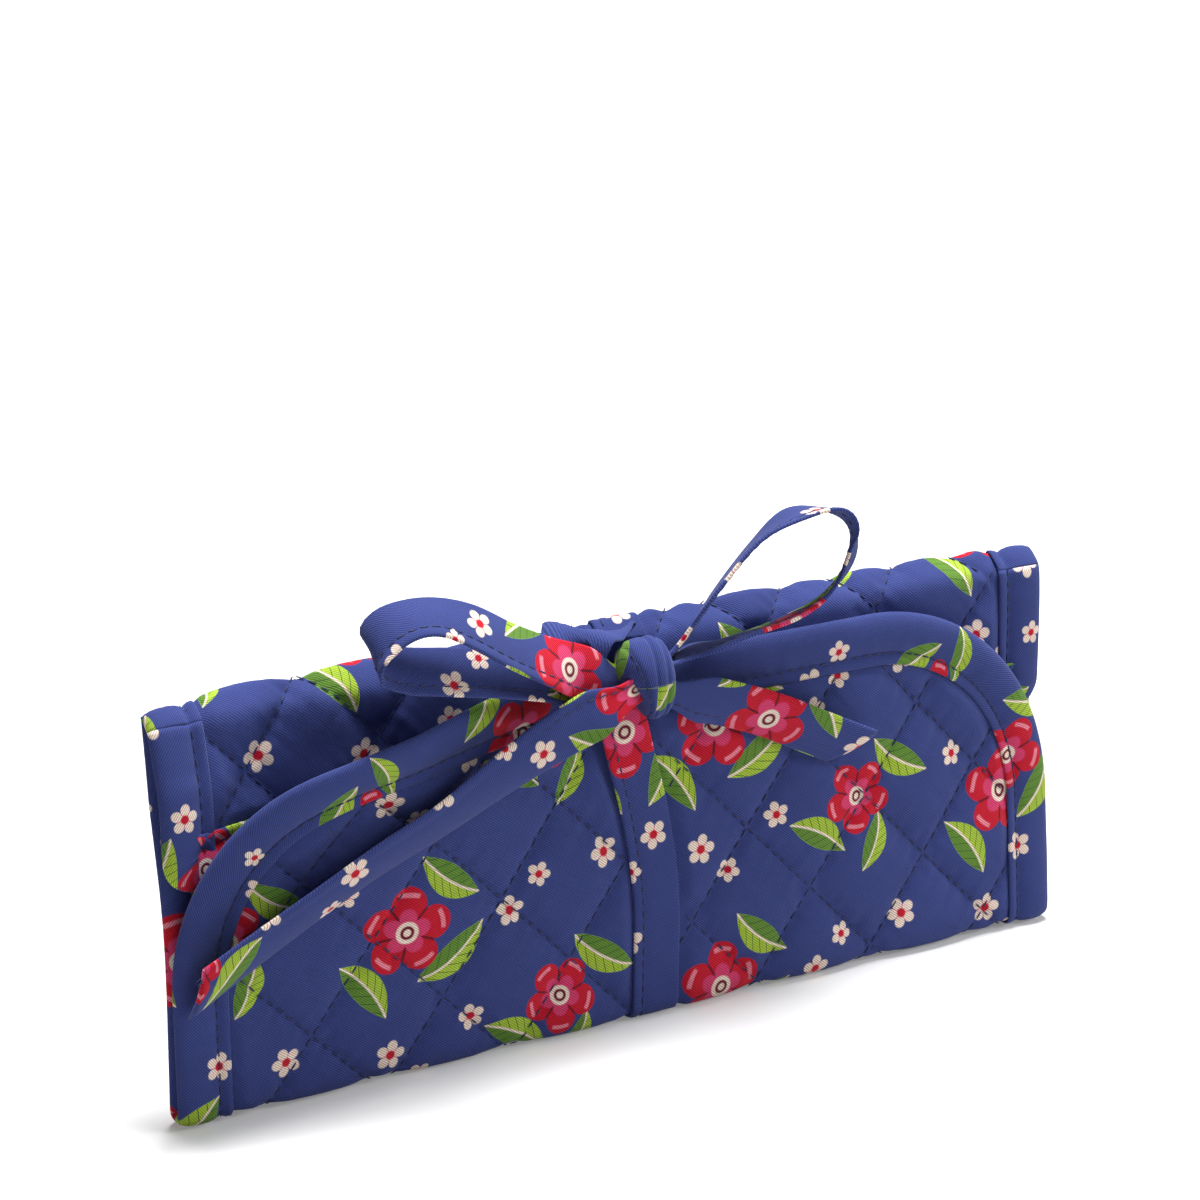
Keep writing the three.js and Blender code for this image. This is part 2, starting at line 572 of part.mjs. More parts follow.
const loopLeft = [
  [-10, -0.4, 1.5, 0.1, 0.15, 1], [-17, -0.4, 4.2, 0.2, 0.15, 0.97], [-26, -2.5, 8.7, 0.25, 0.55, 0.8],
  [-36, -3.5, 14.2, 0.3, 0.65, 0.7], [-46, -3.9, 20.6, 0.35, 0.7, 0.6], [-54, -3.5, 24.2, 0.3, 0.8, 0.45],
  [-61, -3.1, 25, 0.15, 0.85, 0.45], [-67, -2.6, 23.3, 0, 0.82, 0.55], [-70, -1.8, 19.6, 0, 0.78, 0.62],
  [-68.5, -0.6, 15.4, 0.2, 0.75, 0.6], [-62, -0.1, 12.3, 0.35, 0.7, 0.6], [-50, 0.3, 9.8, 0.4, 0.65, 0.65],
  [-37, 0.9, 7.1, 0.4, 0.6, 0.7], [-22, 1.9, 3.4, 0.3, 0.45, 0.8], [-9, 2.3, 1.1, 0, 0, 1],
];
const loopRight = [
  [8.4, 0.2, 5.8, 0.35, 0.8, -0.45], [19.5, -0.3, 18.2, 0.3, 0.85, -0.4], [30, -0.8, 28, 0.25, 0.88, -0.33],
  [41, -1.1, 33, 0, 1, -0.1], [50.5, -1, 32.4, 0.1, 0.95, -0.2], [56.2, -0.7, 27, 0.5, 0.8, -0.1],
  [55.5, -0.3, 19, 0.68, 0.68, -0.07], [49, 0, 12, 0.5, 0.8, -0.2], [38, 0.2, 7.6, 0.1, 0.9, -0.27],
  [23, 0.3, 5.3, 0.09, 0.9, -0.27], [9.5, 0.4, 3.4, 0, 1, -0.1],
];
const tailRight = [
  [7.8, 2.2, -5.9, 0.2, -0.05, 1], [21, 2.2, -10.3, 0.3, -0.35, 0.9], [34, 2.4, -15.6, 0.35, -0.4, 0.88],
  [46, 2.5, -21.8, 0.4, -0.4, 0.88], [58, 2.5, -28, 0.45, -0.4, 0.88],
];
const tailLeft = [
  [-8, -3.7, -2.2, 0.4, -0.15, -1], [-23, -3.8, -7.2, 0.4, 0, -1], [-39, -3.2, -14.6, 0.3, 0.3, -0.95],
  [-55, -2.4, -23, 0.15, 0.5, -0.87], [-71, -1.6, -29.8, 0.1, 0.55, -0.84],
  [-87, -1.1, -37.5, 0.1, 0.55, -0.84], [-103, -0.6, -45.5, 0.1, 0.5, -0.87],
  [-116, -0.3, -52.3, 0.1, 0.45, -0.9],
];
add(bowFrame, 'bow_loop_left', ribbon(loopLeft), navyTie);
add(bowFrame, 'bow_loop_right', ribbon(loopRight), navyTie);
add(bowFrame, 'bow_tail_right', ribbon(tailRight, TAIL_SLANT), navyTie);
add(bowFrame, 'bow_tail_left', ribbon(tailLeft, TAIL_SLANT), navyTie);

export default roll;
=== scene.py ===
import math

import bmesh
import bpy
import numpy as np
from mathutils import Matrix, Vector


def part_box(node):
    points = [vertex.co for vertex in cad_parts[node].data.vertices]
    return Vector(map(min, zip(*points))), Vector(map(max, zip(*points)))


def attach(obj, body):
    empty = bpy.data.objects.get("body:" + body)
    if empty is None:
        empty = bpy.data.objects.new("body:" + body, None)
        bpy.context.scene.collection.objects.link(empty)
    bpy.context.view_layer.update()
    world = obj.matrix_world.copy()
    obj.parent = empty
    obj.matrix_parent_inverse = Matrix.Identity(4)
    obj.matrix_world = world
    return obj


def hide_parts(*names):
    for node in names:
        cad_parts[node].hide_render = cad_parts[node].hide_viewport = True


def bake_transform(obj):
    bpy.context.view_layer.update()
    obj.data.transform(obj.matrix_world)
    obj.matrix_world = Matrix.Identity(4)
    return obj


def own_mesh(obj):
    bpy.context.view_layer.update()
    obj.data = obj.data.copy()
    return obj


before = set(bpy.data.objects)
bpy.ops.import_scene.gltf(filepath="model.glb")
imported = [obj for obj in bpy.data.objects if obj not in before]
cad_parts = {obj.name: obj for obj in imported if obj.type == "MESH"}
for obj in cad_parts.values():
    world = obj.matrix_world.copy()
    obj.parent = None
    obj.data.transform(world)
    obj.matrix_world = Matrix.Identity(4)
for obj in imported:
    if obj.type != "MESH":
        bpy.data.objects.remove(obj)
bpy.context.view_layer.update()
scene = bpy.context.scene

# Studio: a white table in soft daylight. Most of it comes from a window above and a little behind the roll,
# with a weaker one in front at the right and a faint one at the left. The camera looks down a little, as
# somebody sitting at the table does.
scene.view_settings.view_transform = "Standard"
MM = 0.001
TURN, TILT = math.radians(30.04), math.radians(18.17)
AWAY, MEASURED_FROM = np.array([10.501, 99.941, 834.8]), np.array([0, -5.1, 0])
FOCAL_LENGTH, SENSOR = 105, 36
LIT_SPOT = Vector((0, 0, 0.05))
AMBIENT, WHITE = 0.06, (1, 1, 1, 1)
TABLE_HALF, TABLE_SHADE, TABLE_SEEN = 3, 0.6, 0.15
GLOW_NEAR, GLOW_FAR, GLOW_LEAST = 0.2, 0.9, 0.2


def show(data, name):
    thing = bpy.data.objects.new(name, data)
    scene.collection.objects.link(thing)
    return thing


def place(tree, kind, *inputs, named=None, **settings):
    """Adds a node with its settings, and fills its inputs, in order or by name, by a link or a value."""
    node = tree.nodes.new(kind)
    for key, value in settings.items():
        setattr(node, key, value)
    for key, value in [*enumerate(inputs), *(named or {}).items()]:
        if isinstance(value, bpy.types.NodeSocket):
            tree.links.new(value, node.inputs[key])
        elif value is not None:
            node.inputs[key].default_value = value
    return node


def wire(tree, kind, *inputs, **settings):
    """Adds a node in the same way, and gives its first output."""
    return place(tree, kind, *inputs, **settings).outputs[0]


def maths(tree, operation, *values, **settings):
    return wire(tree, "ShaderNodeMath", *values, operation=operation, **settings)


def seen_plainly(tree):
    """1 for what the camera sees, straight, mirrored or through glass, and 0 for light between surfaces."""
    path = place(tree, "ShaderNodeLightPath").outputs
    plainly = maths(tree, "MAXIMUM", path["Is Camera Ray"], path["Is Glossy Ray"])
    return maths(tree, "MAXIMUM", plainly, path["Is Transmission Ray"])


def blank_material(name):
    material = bpy.data.materials.new(name)
    material.use_nodes = True
    material.node_tree.nodes.clear()
    return material, material.node_tree


right = np.array([math.cos(TURN), -math.sin(TURN), 0])
ahead = np.array([math.sin(TURN) * math.cos(TILT), math.cos(TURN) * math.cos(TILT), -math.sin(TILT)])
down = np.cross(ahead, right)
eye = MEASURED_FROM - AWAY @ np.array([right, down, ahead])
lens = bpy.data.cameras.new("camera")
lens.lens, lens.sensor_width = FOCAL_LENGTH, SENSOR
camera = show(lens, "camera")
facing = Matrix(np.array([right, -down, -ahead]).T.tolist()).to_quaternion()
camera.matrix_world = Matrix.LocRotScale(Vector(eye * MM), facing, None)
scene.camera = camera

for name, spot, watts, size in (
    ("window_above", Vector((0.15, 0.1, 1.4)), 33.0, 0.5),
    ("window_right", Vector((1.1, -0.9, 0.9)), 10.0, 0.5),
    ("window_left", Vector((-1.0, -0.9, 0.6)), 0.5, 0.8),
):
    lamp = bpy.data.lights.new(name, "AREA")
    lamp.energy, lamp.size = watts, size
    facing = (LIT_SPOT - spot).to_track_quat("-Z", "Y")
    show(lamp, name).matrix_world = Matrix.LocRotScale(spot, facing, None)

world = bpy.data.worlds.new("daylight")
world.use_nodes = True
scene.world = world
sky = world.node_tree
sky.nodes.clear()
strength = maths(sky, "MULTIPLY_ADD", seen_plainly(sky), 1 - AMBIENT, AMBIENT)
backdrop = wire(sky, "ShaderNodeBackground", WHITE, strength)
place(sky, "ShaderNodeOutputWorld", backdrop)

paper, table = blank_material("white_table")
plainly = seen_plainly(table)
matt = wire(table, "ShaderNodeBsdfDiffuse", maths(table, "MULTIPLY_ADD", plainly, TABLE_SEEN, TABLE_SHADE))
spot = place(table, "ShaderNodeTexCoord").outputs["Object"]
far = place(table, "ShaderNodeVectorMath", spot, operation="LENGTH").outputs["Value"]
rise = wire(table, "ShaderNodeMapRange", far, GLOW_NEAR, GLOW_FAR, GLOW_LEAST, 1.0)
glow = wire(table, "ShaderNodeEmission", WHITE, maths(table, "MULTIPLY", plainly, rise))
both = wire(table, "ShaderNodeAddShader", matt, glow)
place(table, "ShaderNodeOutputMaterial", both)
corners = [(x * TABLE_HALF, y * TABLE_HALF, 0) for x, y in ((-1, -1), (1, -1), (1, 1), (-1, 1))]
bench = bpy.data.meshes.new("table")
bench.from_pydata(corners, [], [(0, 1, 2, 3)])
bench.materials.append(paper)
show(bench, "table")

# The panel: one long piece of quilted cotton, folded round the space inside. It runs from the flap's
# tip down the front, under the bottom, up the back, over the top and down inside as the leaf. The tie
# holds its middle, and its two ends are pressed flatter, so its line differs at the left and the right.
FLAP_FOLD, BACK_FOLD, TOP_FOLD, LEAF_FOLD, LEAF_TIP = 88, 97.4, 192.4, 199.7, 236.5
FOLDS_AT = [0, FLAP_FOLD, BACK_FOLD, TOP_FOLD, LEAF_FOLD, LEAF_TIP]
BASE_MIDDLE = (FLAP_FOLD + BACK_FOLD) / 2
BEFORE, BEYOND = -20, 260
HALF_WIDTH, FLAP_CORNER, LEAF_CORNER = 120, 55, 8
FOLD_SOFTNESS, LINE_STEP, NEARBY = 1.5, 0.25, 0.5
FLAP_UNTIL, FLAP_CHANGE, UPPER_FROM, UPPER_CHANGE = 80, 20, 145, 30
LEFT_END, RIGHT_END = [(104, 16), (88, 32), (15, 70)], [(88, 32), (88, 32), (60, 60)]
DROOP, DROOP_AT, DROOP_REACH, DROOP_TO = 3, -70, 25, 38
WAVE, WAVE_ACROSS, WAVE_ALONG, ACROSS_START, ALONG_START = 0.3, 17, 23, 1.3, 0.4
WAVED_AT, WAVED_REACH, WAVED_CHANGE = 46, 80, 60


def travelled(route):
    return np.r_[0, np.cumsum(np.linalg.norm(np.diff(route, axis=0), axis=1))]


def fold_line(points, folds):
    """The panel's line from the flap's tip to the leaf's, with soft folds: along the cloth, y and z."""
    points = np.array(points, float)
    lengths = travelled(points)
    fine = np.arange(0, lengths[-1] + LINE_STEP / 2, LINE_STEP)
    reach = int(4 * FOLD_SOFTNESS / LINE_STEP)
    blur = np.exp(-0.5 * (np.arange(-reach, reach + 1) * LINE_STEP / FOLD_SOFTNESS) ** 2)
    soft = []
    for values in points.T:
        run_on = np.pad(np.interp(fine, lengths, values), reach, "reflect", reflect_type="odd")
        soft.append(np.convolve(run_on, blur / blur.sum(), "valid"))
    return np.interp(fine, lengths[[0, *folds, -1]], FOLDS_AT), *soft


MIDDLE_LINE = fold_line(
    [(-0.1, 89.3), (-4.7, 1.5), (4.7, 1.5), (11.3, 96.4), (5.5, 92.2), (3.6, 55.2)], [1, 2, 3, 4]
)
LEFT_LINE = fold_line(
    [(-12, 86), (-9.2, 76), (-7.2, 66), (-5.9, 56), (-5, 45), (-4.6, 30), (-4.7, 16), (-5, 1.9)]
    + [(0.4, 1.9), (0, 13), (-0.5, 30), (-0.5, 40), (-0.1, 48), (1, 56), (3.2, 66.7), (4.9, 74.5)]
    + [(6.2, 86), (7.6, 95.4), (3.6, 92.4), (1.1, 84.7), (-1.3, 77.4), (-2, 64.7), (-2.4, 55.2)],
    [7, 8, 17, 18],
)
RIGHT_LINE = fold_line(
    [(0.2, 89.3), (-0.2, 70), (-0.4, 57), (-0.8, 45), (-1.9, 31), (-3.4, 16), (-4.5, 1.8)]
    + [(1.8, 1.8), (2.8, 13), (5, 36), (7, 52), (7.8, 60), (8.2, 74), (9.4, 96)]
    + [(4.6, 92.2), (4, 84), (3.8, 74.8), (3.7, 55.2)],
    [6, 7, 13, 14],
)


def ease(t):
    t = np.clip(t, 0, 1)
    return t * t * (3 - 2 * t)


def unit(v):
    return v / np.linalg.norm(v, axis=-1, keepdims=True)


def row_ways(spots):
    """The way along a row of places, at each of them."""
    return unit(np.gradient(spots, axis=0))


def fields(*values):
    return np.broadcast_arrays(*(np.asarray(value, float) for value in values))


def end_share(away, starts, upper, flap):
    """How far a place belongs to a pressed end. The ends start at one distance from the middle, over one
    run, low on the back, and at others on its upper part and on the flap."""
    low, high, front = np.array(starts)
    start, run = (low[k] + (high - low)[k] * upper + (front - low)[k] * flap for k in (0, 1))
    return ease((away - start) / run)


def panel_middle(x, s):
    """The place of the panel's stitched plane, x across and s along the cloth from the flap's tip."""
    x, s = fields(x, s)
    flap = 1 - ease((s - FLAP_UNTIL) / FLAP_CHANGE)
    upper = ease((s - UPPER_FROM) / UPPER_CHANGE)
    left = end_share(-x, LEFT_END, upper, flap)
    other = end_share(x, RIGHT_END, upper, flap)
    lines = ((MIDDLE_LINE, 1 - left - other), (LEFT_LINE, left), (RIGHT_LINE, other))
    y, z = (sum(share * np.interp(s, line[0], line[k]) for line, share in lines) for k in (1, 2))
    droop = DROOP * np.exp(-(((x - DROOP_AT) / DROOP_REACH) ** 2)) * ease((DROOP_TO - s) / DROOP_TO)
    wave = WAVE * np.sin(x / WAVE_ACROSS + ACROSS_START) * np.sin(s / WAVE_ALONG + ALONG_START)
    wave = wave * ease((WAVED_REACH - np.abs(s - WAVED_AT)) / WAVED_CHANGE)
    return np.stack([x, y + wave, z - droop], -1)


def way_along(x, s):
    return panel_middle(x, s + NEARBY) - panel_middle(x, s - NEARBY)


def panel_spot(x, s, lift):
    """A place at a height over the panel's stitched plane, and the way out of the panel there."""
    x, s, lift = fields(x, s, lift)
    across = panel_middle(x + NEARBY, s) - panel_middle(x - NEARBY, s)
    out = unit(np.cross(way_along(x, s), across))
    return panel_middle(x, s) + lift[..., None] * out, out


def inset(x, s):
    """How far a place lies inside the panel's cut edge."""
    x, s = np.abs(x), np.asarray(s, float)
    from_flap = s < BASE_MIDDLE
    corner = np.where(from_flap, FLAP_CORNER, LEAF_CORNER)
    over = np.where(from_flap, FLAP_CORNER - s, s - LEAF_TIP + LEAF_CORNER)
    aside = x - HALF_WIDTH + corner
    outside = np.hypot(np.maximum(aside, 0), np.maximum(over, 0))
    return corner - outside - np.minimum(np.maximum(aside, over), 0)


def piece(name, spots, faces, material, flat=None, normals=None):
    """A mesh from places in millimetres, with the flat cloth's own places, in centimetres, as its UV."""
    mesh = bpy.data.meshes.new(name)
    mesh.from_pydata((np.asarray(spots).reshape(-1, 3) * MM).tolist(), [], faces)
    if flat is not None:
        corners = np.zeros(len(mesh.loops), np.int32)
        mesh.loops.foreach_get("vertex_index", corners)
        layer = mesh.uv_layers.new(name="cloth")
        layer.data.foreach_set("uv", np.asarray(flat, float).reshape(-1, 2)[corners].ravel() / 10)
    mesh.polygons.foreach_set("use_smooth", np.ones(len(mesh.polygons), bool))
    if normals is not None:
        mesh.normals_split_custom_set_from_vertices(np.asarray(normals).reshape(-1, 3).tolist())
    mesh.materials.append(material)
    return show(mesh, name)


def linear(red, green, blue):
    """A colour written as it looks on a screen, 0 to 255, as the shader wants it."""
    return tuple(
        c / 12.92 if c <= 0.04045 else ((c + 0.055) / 1.055) ** 2.4
        for c in (red / 255, green / 255, blue / 255)
    ) + (1.0,)


# The print: navy cotton twill, screen printed with a small scattered garden pattern. Red five-petalled
# blossoms with pink hearts, lime ribbed leaves and small cream daisies lie in a half-drop repeat.
TILE_WIDE, TILE_HIGH = 8.4, 6.6
NAVY, NAVY_DEEP = linear(60, 72, 134), linear(52, 63, 122)
RED, PINK, CREAM = linear(198, 22, 46), linear(212, 62, 108), linear(240, 219, 204)
LIME, FERN, MOSS = linear(165, 193, 62), linear(96, 136, 52), linear(58, 92, 46)
WINE, ROSE = linear(110, 14, 36), linear(232, 132, 150)
PRINT_EDGE, DAISY_EDGE, LEAF_RIBS, PETALS = 0.03, 0.1, 11.0, 5
DYE_SCALE, SLUB_SCALE, SLUB_WANDER, TWILL_SLANT = 1.1, 60.0, 3.0, 0.8
# The weave's scale on the cloth's colour: painted light on the twill's ribs and painted shade in the grooves
# between them, with the slubs' own uneven tone.
RIB_SHARE, SLUB_SHARE, RIB_SHADE_AND_SLUB_SPAN, RIB_SHADE_AND_SLUB_LEAST = 0.65, 0.7, 1.1, 0.26
WEAVE_DEPTH = 0.0002


def give(tree, direction, **sockets):
    """Names the inputs or outputs of a node group."""
    for name, kind in sockets.items():
        tree.interface.new_socket(name, in_out=direction, socket_type="NodeSocket" + kind)


def motif_group(name, draw):
    """A node group for one motif, with its place, turn and size as inputs."""
    tree = bpy.data.node_groups.new(name, "ShaderNodeTree")
    give(tree, "INPUT", Place="Vector", X="Float", Y="Float", Turn="Float", Size="Float", Under="Color")
    give(tree, "OUTPUT", Colour="Color")
    given = place(tree, "NodeGroupInput").outputs
    middle = wire(tree, "ShaderNodeCombineXYZ", given["X"], given["Y"])
    local = wire(tree, "ShaderNodeVectorMath", given["Place"], middle, operation="SUBTRACT")
    local = wire(tree, "ShaderNodeVectorRotate", local, None, None, given["Turn"], rotation_type="Z_AXIS")
    size = {"Scale": maths(tree, "DIVIDE", 1.0, given["Size"])}
    local = wire(tree, "ShaderNodeVectorMath", local, operation="SCALE", named=size)
    at = place(tree, "ShaderNodeSeparateXYZ", local).outputs
    place(tree, "NodeGroupOutput", draw(tree, at[0], at[1], given["Under"]))
    return tree


def paint(tree, share, under, over):
    return place(tree, "ShaderNodeMix", named={0: share, 6: under, 7: over}, data_type="RGBA").outputs[2]


def below(tree, value, limit, softness=PRINT_EDGE):
    """1 where a value is below its limit and 0 above it, over a soft edge."""
    away = maths(tree, "DIVIDE", maths(tree, "SUBTRACT", limit, value), softness)
    return maths(tree, "ADD", away, 0.5, use_clamp=True)


def near(tree, value, middle, reach, softness=PRINT_EDGE):
    return below(tree, maths(tree, "ABSOLUTE", maths(tree, "SUBTRACT", value, middle)), reach, softness)


def petals(tree, x, y):
    """How far a place is from a motif's middle, and how near the middle of one of five petals it lies."""
    squares = [maths(tree, "POWER", way, 2.0) for way in (x, y)]
    turned = maths(tree, "MULTIPLY", maths(tree, "ARCTAN2", y, x), PETALS / 2)
    far = maths(tree, "SQRT", maths(tree, "ADD", *squares))
    return far, maths(tree, "ABSOLUTE", maths(tree, "COSINE", turned))


def draw_blossom(tree, x, y, under):
    """Five red petals, a gloss on each, and a pink heart with a ringed eye, in shares of the motif's size."""
    far, petal = petals(tree, x, y)
    lobe = maths(tree, "POWER", petal, 0.7)
    rim = maths(tree, "MULTIPLY_ADD", lobe, 0.38, 0.62)
    inside = below(tree, far, rim)
    colour = paint(tree, inside, under, RED)
    gap = below(tree, maths(tree, "MULTIPLY", petal, far), 0.07)
    colour = paint(tree, maths(tree, "MULTIPLY", gap, inside), colour, WINE)
    gloss = maths(tree, "MULTIPLY", near(tree, far, 0.82, 0.05), near(tree, petal, 1.0, 0.22, 0.1))
    colour = paint(tree, gloss, colour, ROSE)
    heart = maths(tree, "MULTIPLY_ADD", lobe, 0.22, 0.3)
    colour = paint(tree, below(tree, far, heart, 0.06), colour, PINK)
    colour = paint(tree, below(tree, far, 0.25), colour, CREAM)
    return paint(tree, near(tree, far, 0.12, 0.035), colour, WINE)


def draw_leaf(tree, x, y, under):
    """A bowed leaf, one side lighter, with slanting ribs and a cream vein, in shares of its half length."""
    square = maths(tree, "POWER", x, 2.0)
    width = maths(tree, "MULTIPLY", maths(tree, "SUBTRACT", 1.0, square), 0.4)
    bow = maths(tree, "MULTIPLY_ADD", square, 0.16, y)
    aside = maths(tree, "ABSOLUTE", bow)
    inside = below(tree, aside, width)
    colour = paint(tree, inside, under, LIME)
    colour = paint(tree, maths(tree, "MULTIPLY", inside, below(tree, bow, 0.0)), colour, FERN)
    slanted = maths(tree, "MULTIPLY", maths(tree, "SUBTRACT", x, aside), LEAF_RIBS)
    rib = below(tree, maths(tree, "ABSOLUTE", maths(tree, "SINE", slanted)), 0.14, 0.1)
    colour = paint(tree, maths(tree, "MULTIPLY", inside, rib), colour, MOSS)
    vein = maths(tree, "MULTIPLY", below(tree, aside, 0.03), inside)
    return paint(tree, vein, colour, CREAM)


def draw_daisy(tree, x, y, under):
    """Five cream petals with rose gaps and a red eye, in shares of the motif's size."""
    far, petal = petals(tree, x, y)
    rim = maths(tree, "MULTIPLY_ADD", maths(tree, "POWER", petal, 0.6), 0.55, 0.45)
    inside = below(tree, far, rim, DAISY_EDGE)
    colour = paint(tree, inside, under, CREAM)
    gap = below(tree, maths(tree, "MULTIPLY", petal, far), 0.09, DAISY_EDGE)
    colour = paint(tree, maths(tree, "MULTIPLY", gap, inside), colour, ROSE)
    return paint(tree, below(tree, far, 0.3, DAISY_EDGE), colour, RED)


MOTIFS = {
    "blossom": motif_group("blossom", draw_blossom),
    "leaf": motif_group("leaf", draw_leaf),
    "daisy": motif_group("daisy", draw_daisy),
}
LAYOUT = [
    ("leaf", 3.35, 2.85, 0.6, 1.05),
    ("leaf", 1.05, 3.1, 2.2, 0.95),
    ("leaf", 3.2, 0.9, -0.7, 0.95),
    ("blossom", 2.1, 1.95, 0.2, 1.12),
    ("leaf", 7.25, 3.75, -0.6, 0.95),
    ("leaf", 5.0, 5.2, 2.6, 0.95),
    ("leaf", 6.6, 5.75, 1.2, 0.78),
    ("blossom", 6.1, 4.5, 0.9, 0.95),
    ("daisy", 4.85, 2.1, 0.3, 0.36),
    ("daisy", 5.6, 1.35, 1.1, 0.3),
    ("daisy", 7.4, 1.2, 0.7, 0.38),
    ("daisy", 1.6, 4.95, 0.1, 0.38),
    ("daisy", 2.4, 5.65, 0.9, 0.3),
    ("daisy", 3.75, 4.5, 0.5, 0.33),
    ("daisy", 0.55, 0.65, 0.2, 0.32),
]


def print_group():
    """The repeat: every motif of the layout, by its place in the tile, its turn and its size."""
    tree = bpy.data.node_groups.new("garden_print", "ShaderNodeTree")
    give(tree, "INPUT", Cloth="Vector", Ground="Color")
    give(tree, "OUTPUT", Colour="Color")
    given = place(tree, "NodeGroupInput").outputs
    at = place(tree, "ShaderNodeSeparateXYZ", given["Cloth"]).outputs
    column = maths(tree, "FLOOR", maths(tree, "DIVIDE", at[0], TILE_WIDE))
    drop = maths(tree, "MULTIPLY", maths(tree, "FLOORED_MODULO", column, 2.0), TILE_HIGH / 2)
    x = maths(tree, "FLOORED_MODULO", at[0], TILE_WIDE)
    y = maths(tree, "FLOORED_MODULO", maths(tree, "ADD", at[1], drop), TILE_HIGH)
    local = wire(tree, "ShaderNodeCombineXYZ", x, y)
    colour = given["Ground"]
    for motif, *numbers in LAYOUT:
        colour = wire(tree, "ShaderNodeGroup", local, *numbers, colour, node_tree=MOTIFS[motif])
    place(tree, "NodeGroupOutput", colour)
    return tree


GARDEN = print_group()


def surface(tree, **inputs):
    """Ends a material in one shader, with its inputs named by their words joined by underscores."""
    named = {name.replace("_", " "): value for name, value in inputs.items()}
    shader = wire(tree, "ShaderNodeBsdfPrincipled", named=named)
    place(tree, "ShaderNodeOutputMaterial", shader)


def relief(tree, height, depth, strength):
    inputs = {"Strength": strength, "Distance": depth, "Height": height}
    return wire(tree, "ShaderNodeBump", named=inputs)


def noise(tree, at, scale, detail, roughness):
    return wire(tree, "ShaderNodeTexNoise", at, None, scale, detail, roughness)


def cotton(name, ground, deep, printed, twill, roughness=0.85):
    """Woven cotton: a fine diagonal weave, with painted light on its ribs and painted shade between them, a
    slightly uneven dye, and the print where it has one.
    """
    material, tree = blank_material(name)
    cloth = wire(tree, "ShaderNodeUVMap", uv_map="cloth")
    colour = paint(tree, noise(tree, cloth, DYE_SCALE, 4.0, 0.6), deep, ground)
    if printed:
        colour = wire(tree, "ShaderNodeGroup", cloth, colour, node_tree=GARDEN)
    at = place(tree, "ShaderNodeSeparateXYZ", cloth).outputs
    slubs = noise(tree, cloth, SLUB_SCALE, 2.0, 0.5)
    across = maths(tree, "SUBTRACT", maths(tree, "MULTIPLY", at[0], TWILL_SLANT), at[1])
    ribs = maths(tree, "MULTIPLY", across, 2 * math.pi / twill)
    wave = maths(tree, "SINE", maths(tree, "MULTIPLY_ADD", slubs, SLUB_WANDER, ribs))
    rib = maths(tree, "MULTIPLY_ADD", wave, 0.5, 0.5)
    weave = maths(tree, "MULTIPLY_ADD", rib, RIB_SHARE, maths(tree, "MULTIPLY", slubs, SLUB_SHARE))
    # The colour is scaled by the weave: painted light on each twill rib and painted shade in the grooves
    # between ribs, with the slubs' own uneven tone.
    rib_shade_and_slub_tone = {"Scale": maths(tree, "MULTIPLY_ADD", weave, RIB_SHADE_AND_SLUB_SPAN, RIB_SHADE_AND_SLUB_LEAST)}
    rib_shaded_and_slubbed = wire(tree, "ShaderNodeVectorMath", colour, operation="SCALE", named=rib_shade_and_slub_tone)
    surface(
        tree, Base_Color=rib_shaded_and_slubbed, Roughness=roughness, Specular_IOR_Level=0.18,
        Sheen_Weight=0.1, Sheen_Roughness=0.45, Normal=relief(tree, weave, WEAVE_DEPTH, 0.5),
    )
    return material


print_cotton = cotton("print_cotton", NAVY, NAVY_DEEP, printed=True, twill=0.065)

# The quilting: the printed cotton over a thin wadding, sewn through in diamonds that stand on their
# corners. Each diamond is a low pillow, and the cloth puckers where the thread draws it in.
CORNER_AT = np.array([-120.65, 75.15])
SIDES = np.array([[17.73, 18.85], [15.93, -20.71]]).T
SEAMS = np.linalg.inv(SIDES)
SIDE, PUFF, CLOTH_LIFT, WADDING = 25.9, 1.75, 0.12, 1.0
SEAM_CHANNEL, SEAM_SLOPE = 0.3, 3.0
PUCKER, PUCKER_REACH, PUCKER_FROM = 0.26, 3.8, 0.9
GATHER_WAVES = [(0.6, 1.15, 2.1, 0), (0.5, 0.83, 3.7, 1), (0.3, 1.9, 5.1, 0)]
UNDER_BINDING, BINDING = 4, 12.6
BINDING_OVERLAP, BINDING_SLOPE, TIE_OVERLAP, TIE_SLOPE = 1.5, 5, 0.6, 4.5
UNDER_TIE, STOOD_LOSS, STOOD_REACH, STOOD_SLOPE = 0.12, 0.35, 9, 4
TIE_WIDTH, TIE_EASE = 12.5, (-8, -4, 0, 4, 8)
TIE_ROUTE = [
    (-10, -7.5), (8, -6), (16, -4.6), (38, 1.7), (58, 4.3),
    (FLAP_FOLD, 2.8), (BACK_FOLD, 2.2), (TOP_FOLD, 0.4), (205, 0),
]
SPLITS = [BASE_MIDDLE, TOP_FOLD, LEAF_FOLD]
ROW_STEP, FOLD_STEP, FOLD_REACH, CLOSEST = 0.95, 0.45, 4, 0.6
QUILT_COLUMNS, NORMAL_STEP, EDGE_SLACK = 249, 0.2, 0.1
PLAIN_SPOT, PLAIN_SHARE = (5, 2.8), 0.02
STRETCHES = {
    "flap": (BEFORE, BASE_MIDDLE),
    "back": (BASE_MIDDLE, TOP_FOLD),
    "top": (TOP_FOLD, LEAF_FOLD),
    "leaf": (LEAF_FOLD, BEYOND),
}
